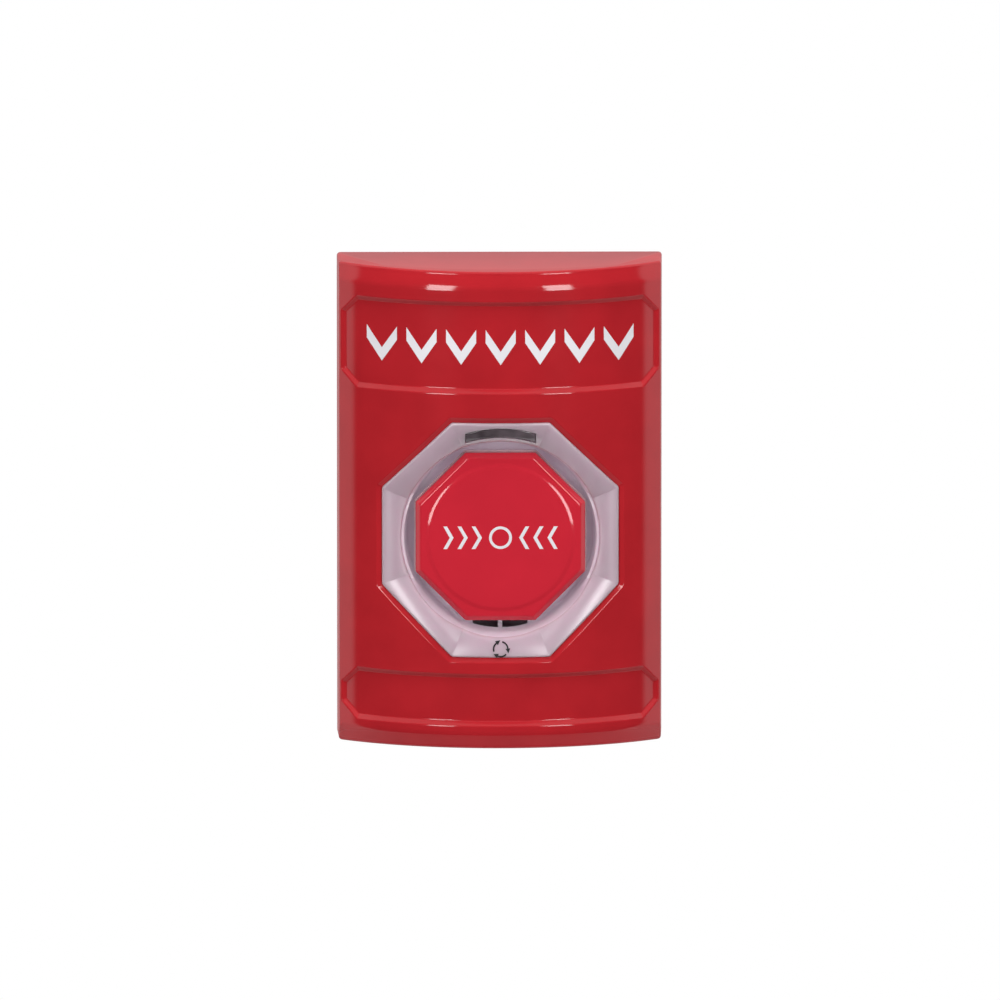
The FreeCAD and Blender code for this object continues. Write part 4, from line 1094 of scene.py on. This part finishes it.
def backdrop():
    """A pale floor well below the part, white to the camera and keeping its shadow."""
    mesh = bpy.data.meshes.new("floor")
    mesh.from_pydata([(-FLOOR_SIDE, FLOOR_NEAR, 0), (FLOOR_SIDE, FLOOR_NEAR, 0), (FLOOR_SIDE, FLOOR_FAR, 0),
                      (-FLOOR_SIDE, FLOOR_FAR, 0)], [], [(0, 1, 2, 3)])
    floor = bpy.data.objects.new("floor", mesh)
    floor.location.z = FLOOR_Z
    bpy.context.scene.collection.objects.link(floor)
    material, surface = shader("pale_floor", (0.9, 0.9, 0.9), 0.7)
    mesh.materials.append(material)
    nodes, links = material.node_tree.nodes, material.node_tree.links
    ray = nodes.new("ShaderNodeLightPath")
    white = nodes.new("ShaderNodeEmission")
    mix = nodes.new("ShaderNodeMixShader")
    share = nodes.new("ShaderNodeMath")
    share.operation = "MULTIPLY"
    share.inputs[1].default_value = FLOOR_WHITE
    links.new(ray.outputs["Is Camera Ray"], share.inputs[0])
    links.new(share.outputs["Value"], mix.inputs["Fac"])
    links.new(surface.outputs["BSDF"], mix.inputs[1])
    links.new(white.outputs["Emission"], mix.inputs[2])
    links.new(mix.outputs["Shader"], nodes["Material Output"].inputs["Surface"])


def sky():
    """White behind the part for the camera; for light and reflections, pale at the sides, above and behind."""
    world = bpy.data.worlds.new("studio")
    bpy.context.scene.world = world
    world.use_nodes = True
    nodes, links = world.node_tree.nodes, world.node_tree.links
    place = nodes.new("ShaderNodeTexCoord")
    split = nodes.new("ShaderNodeSeparateXYZ")
    links.new(place.outputs["Generated"], split.inputs["Vector"])

    def steps(source, levels):
        """A ramp over a direction's -1 to 1."""
        ramp = nodes.new("ShaderNodeValToRGB")
        while len(ramp.color_ramp.elements) < len(levels):
            ramp.color_ramp.elements.new(0.5)
        for element, (position, level) in zip(ramp.color_ramp.elements, levels):
            element.position = position
            element.color = (level, level, level, 1)
        links.new(remap(nodes, links, source, -1, 1, 0, 1), ramp.inputs["Fac"])
        return ramp.outputs["Color"]

    around = steps(split.outputs["Y"], STUDIO_ROUND)
    above = steps(split.outputs["Z"], STUDIO_ABOVE)
    light = join(nodes, links, "MAXIMUM", around, above)
    behind = join(nodes, links, "MULTIPLY", steps(split.outputs["Y"], BACKDROP),
                  steps(split.outputs["Z"], BACKDROP_HEIGHT))
    ray = nodes.new("ShaderNodeLightPath")
    seen = join(nodes, links, "MAXIMUM", ray.outputs["Is Glossy Ray"], ray.outputs["Is Transmission Ray"])
    seen = join(nodes, links, "MULTIPLY", seen, behind)
    seen = join(nodes, links, "MAXIMUM", seen, ray.outputs["Is Camera Ray"])
    pick = nodes.new("ShaderNodeMix")
    links.new(seen, pick.inputs["Factor"])
    links.new(light, pick.inputs["A"])
    pick.inputs["B"].default_value = 1.0
    background = nodes["Background"]
    background.inputs["Color"].default_value = (1, 1, 1, 1)
    links.new(pick.outputs["Result"], background.inputs["Strength"])


def lamp_panel(name, place, wide, tall, power):
    """A rectangular lamp that faces the part."""
    lamp = bpy.data.lights.new(name, "AREA")
    lamp.shape = "RECTANGLE"
    lamp.size = wide
    lamp.size_y = tall
    lamp.energy = power
    thing = bpy.data.objects.new(name, lamp)
    thing.location = place
    thing.rotation_euler = (LAMP_AIM - Vector(place)).to_track_quat("-Z", "Y").to_euler()
    bpy.context.scene.collection.objects.link(thing)
    return thing


def camera():
    lens = bpy.data.cameras.new("camera")
    thing = bpy.data.objects.new("camera", lens)
    bpy.context.scene.collection.objects.link(thing)
    bpy.context.scene.camera = thing
    lens.sensor_width = 36
    lens.lens = LENS
    away = Vector((math.sin(AZIMUTH) * math.cos(ELEVATION), -math.cos(AZIMUTH) * math.cos(ELEVATION),
                   math.sin(ELEVATION)))
    thing.location = AIM + away * DISTANCE
    thing.rotation_euler = (-away).to_track_quat("-Z", "Y").to_euler()
    lens.clip_end = 20


bpy.context.scene.view_settings.view_transform = "Standard"
backdrop()
sky()
for side in (-1, 1):
    lamp_panel(f"softbox_{side + 2}", (side * 0.70, -1.2, 0.33), 0.34, 0.84, 9.2)
# the photo shows no reflection of the lamp above
lamp_panel("overhead_panel", (0, -0.28, 1.25), 1.8, 1.4, 17).visible_glossy = False
camera()
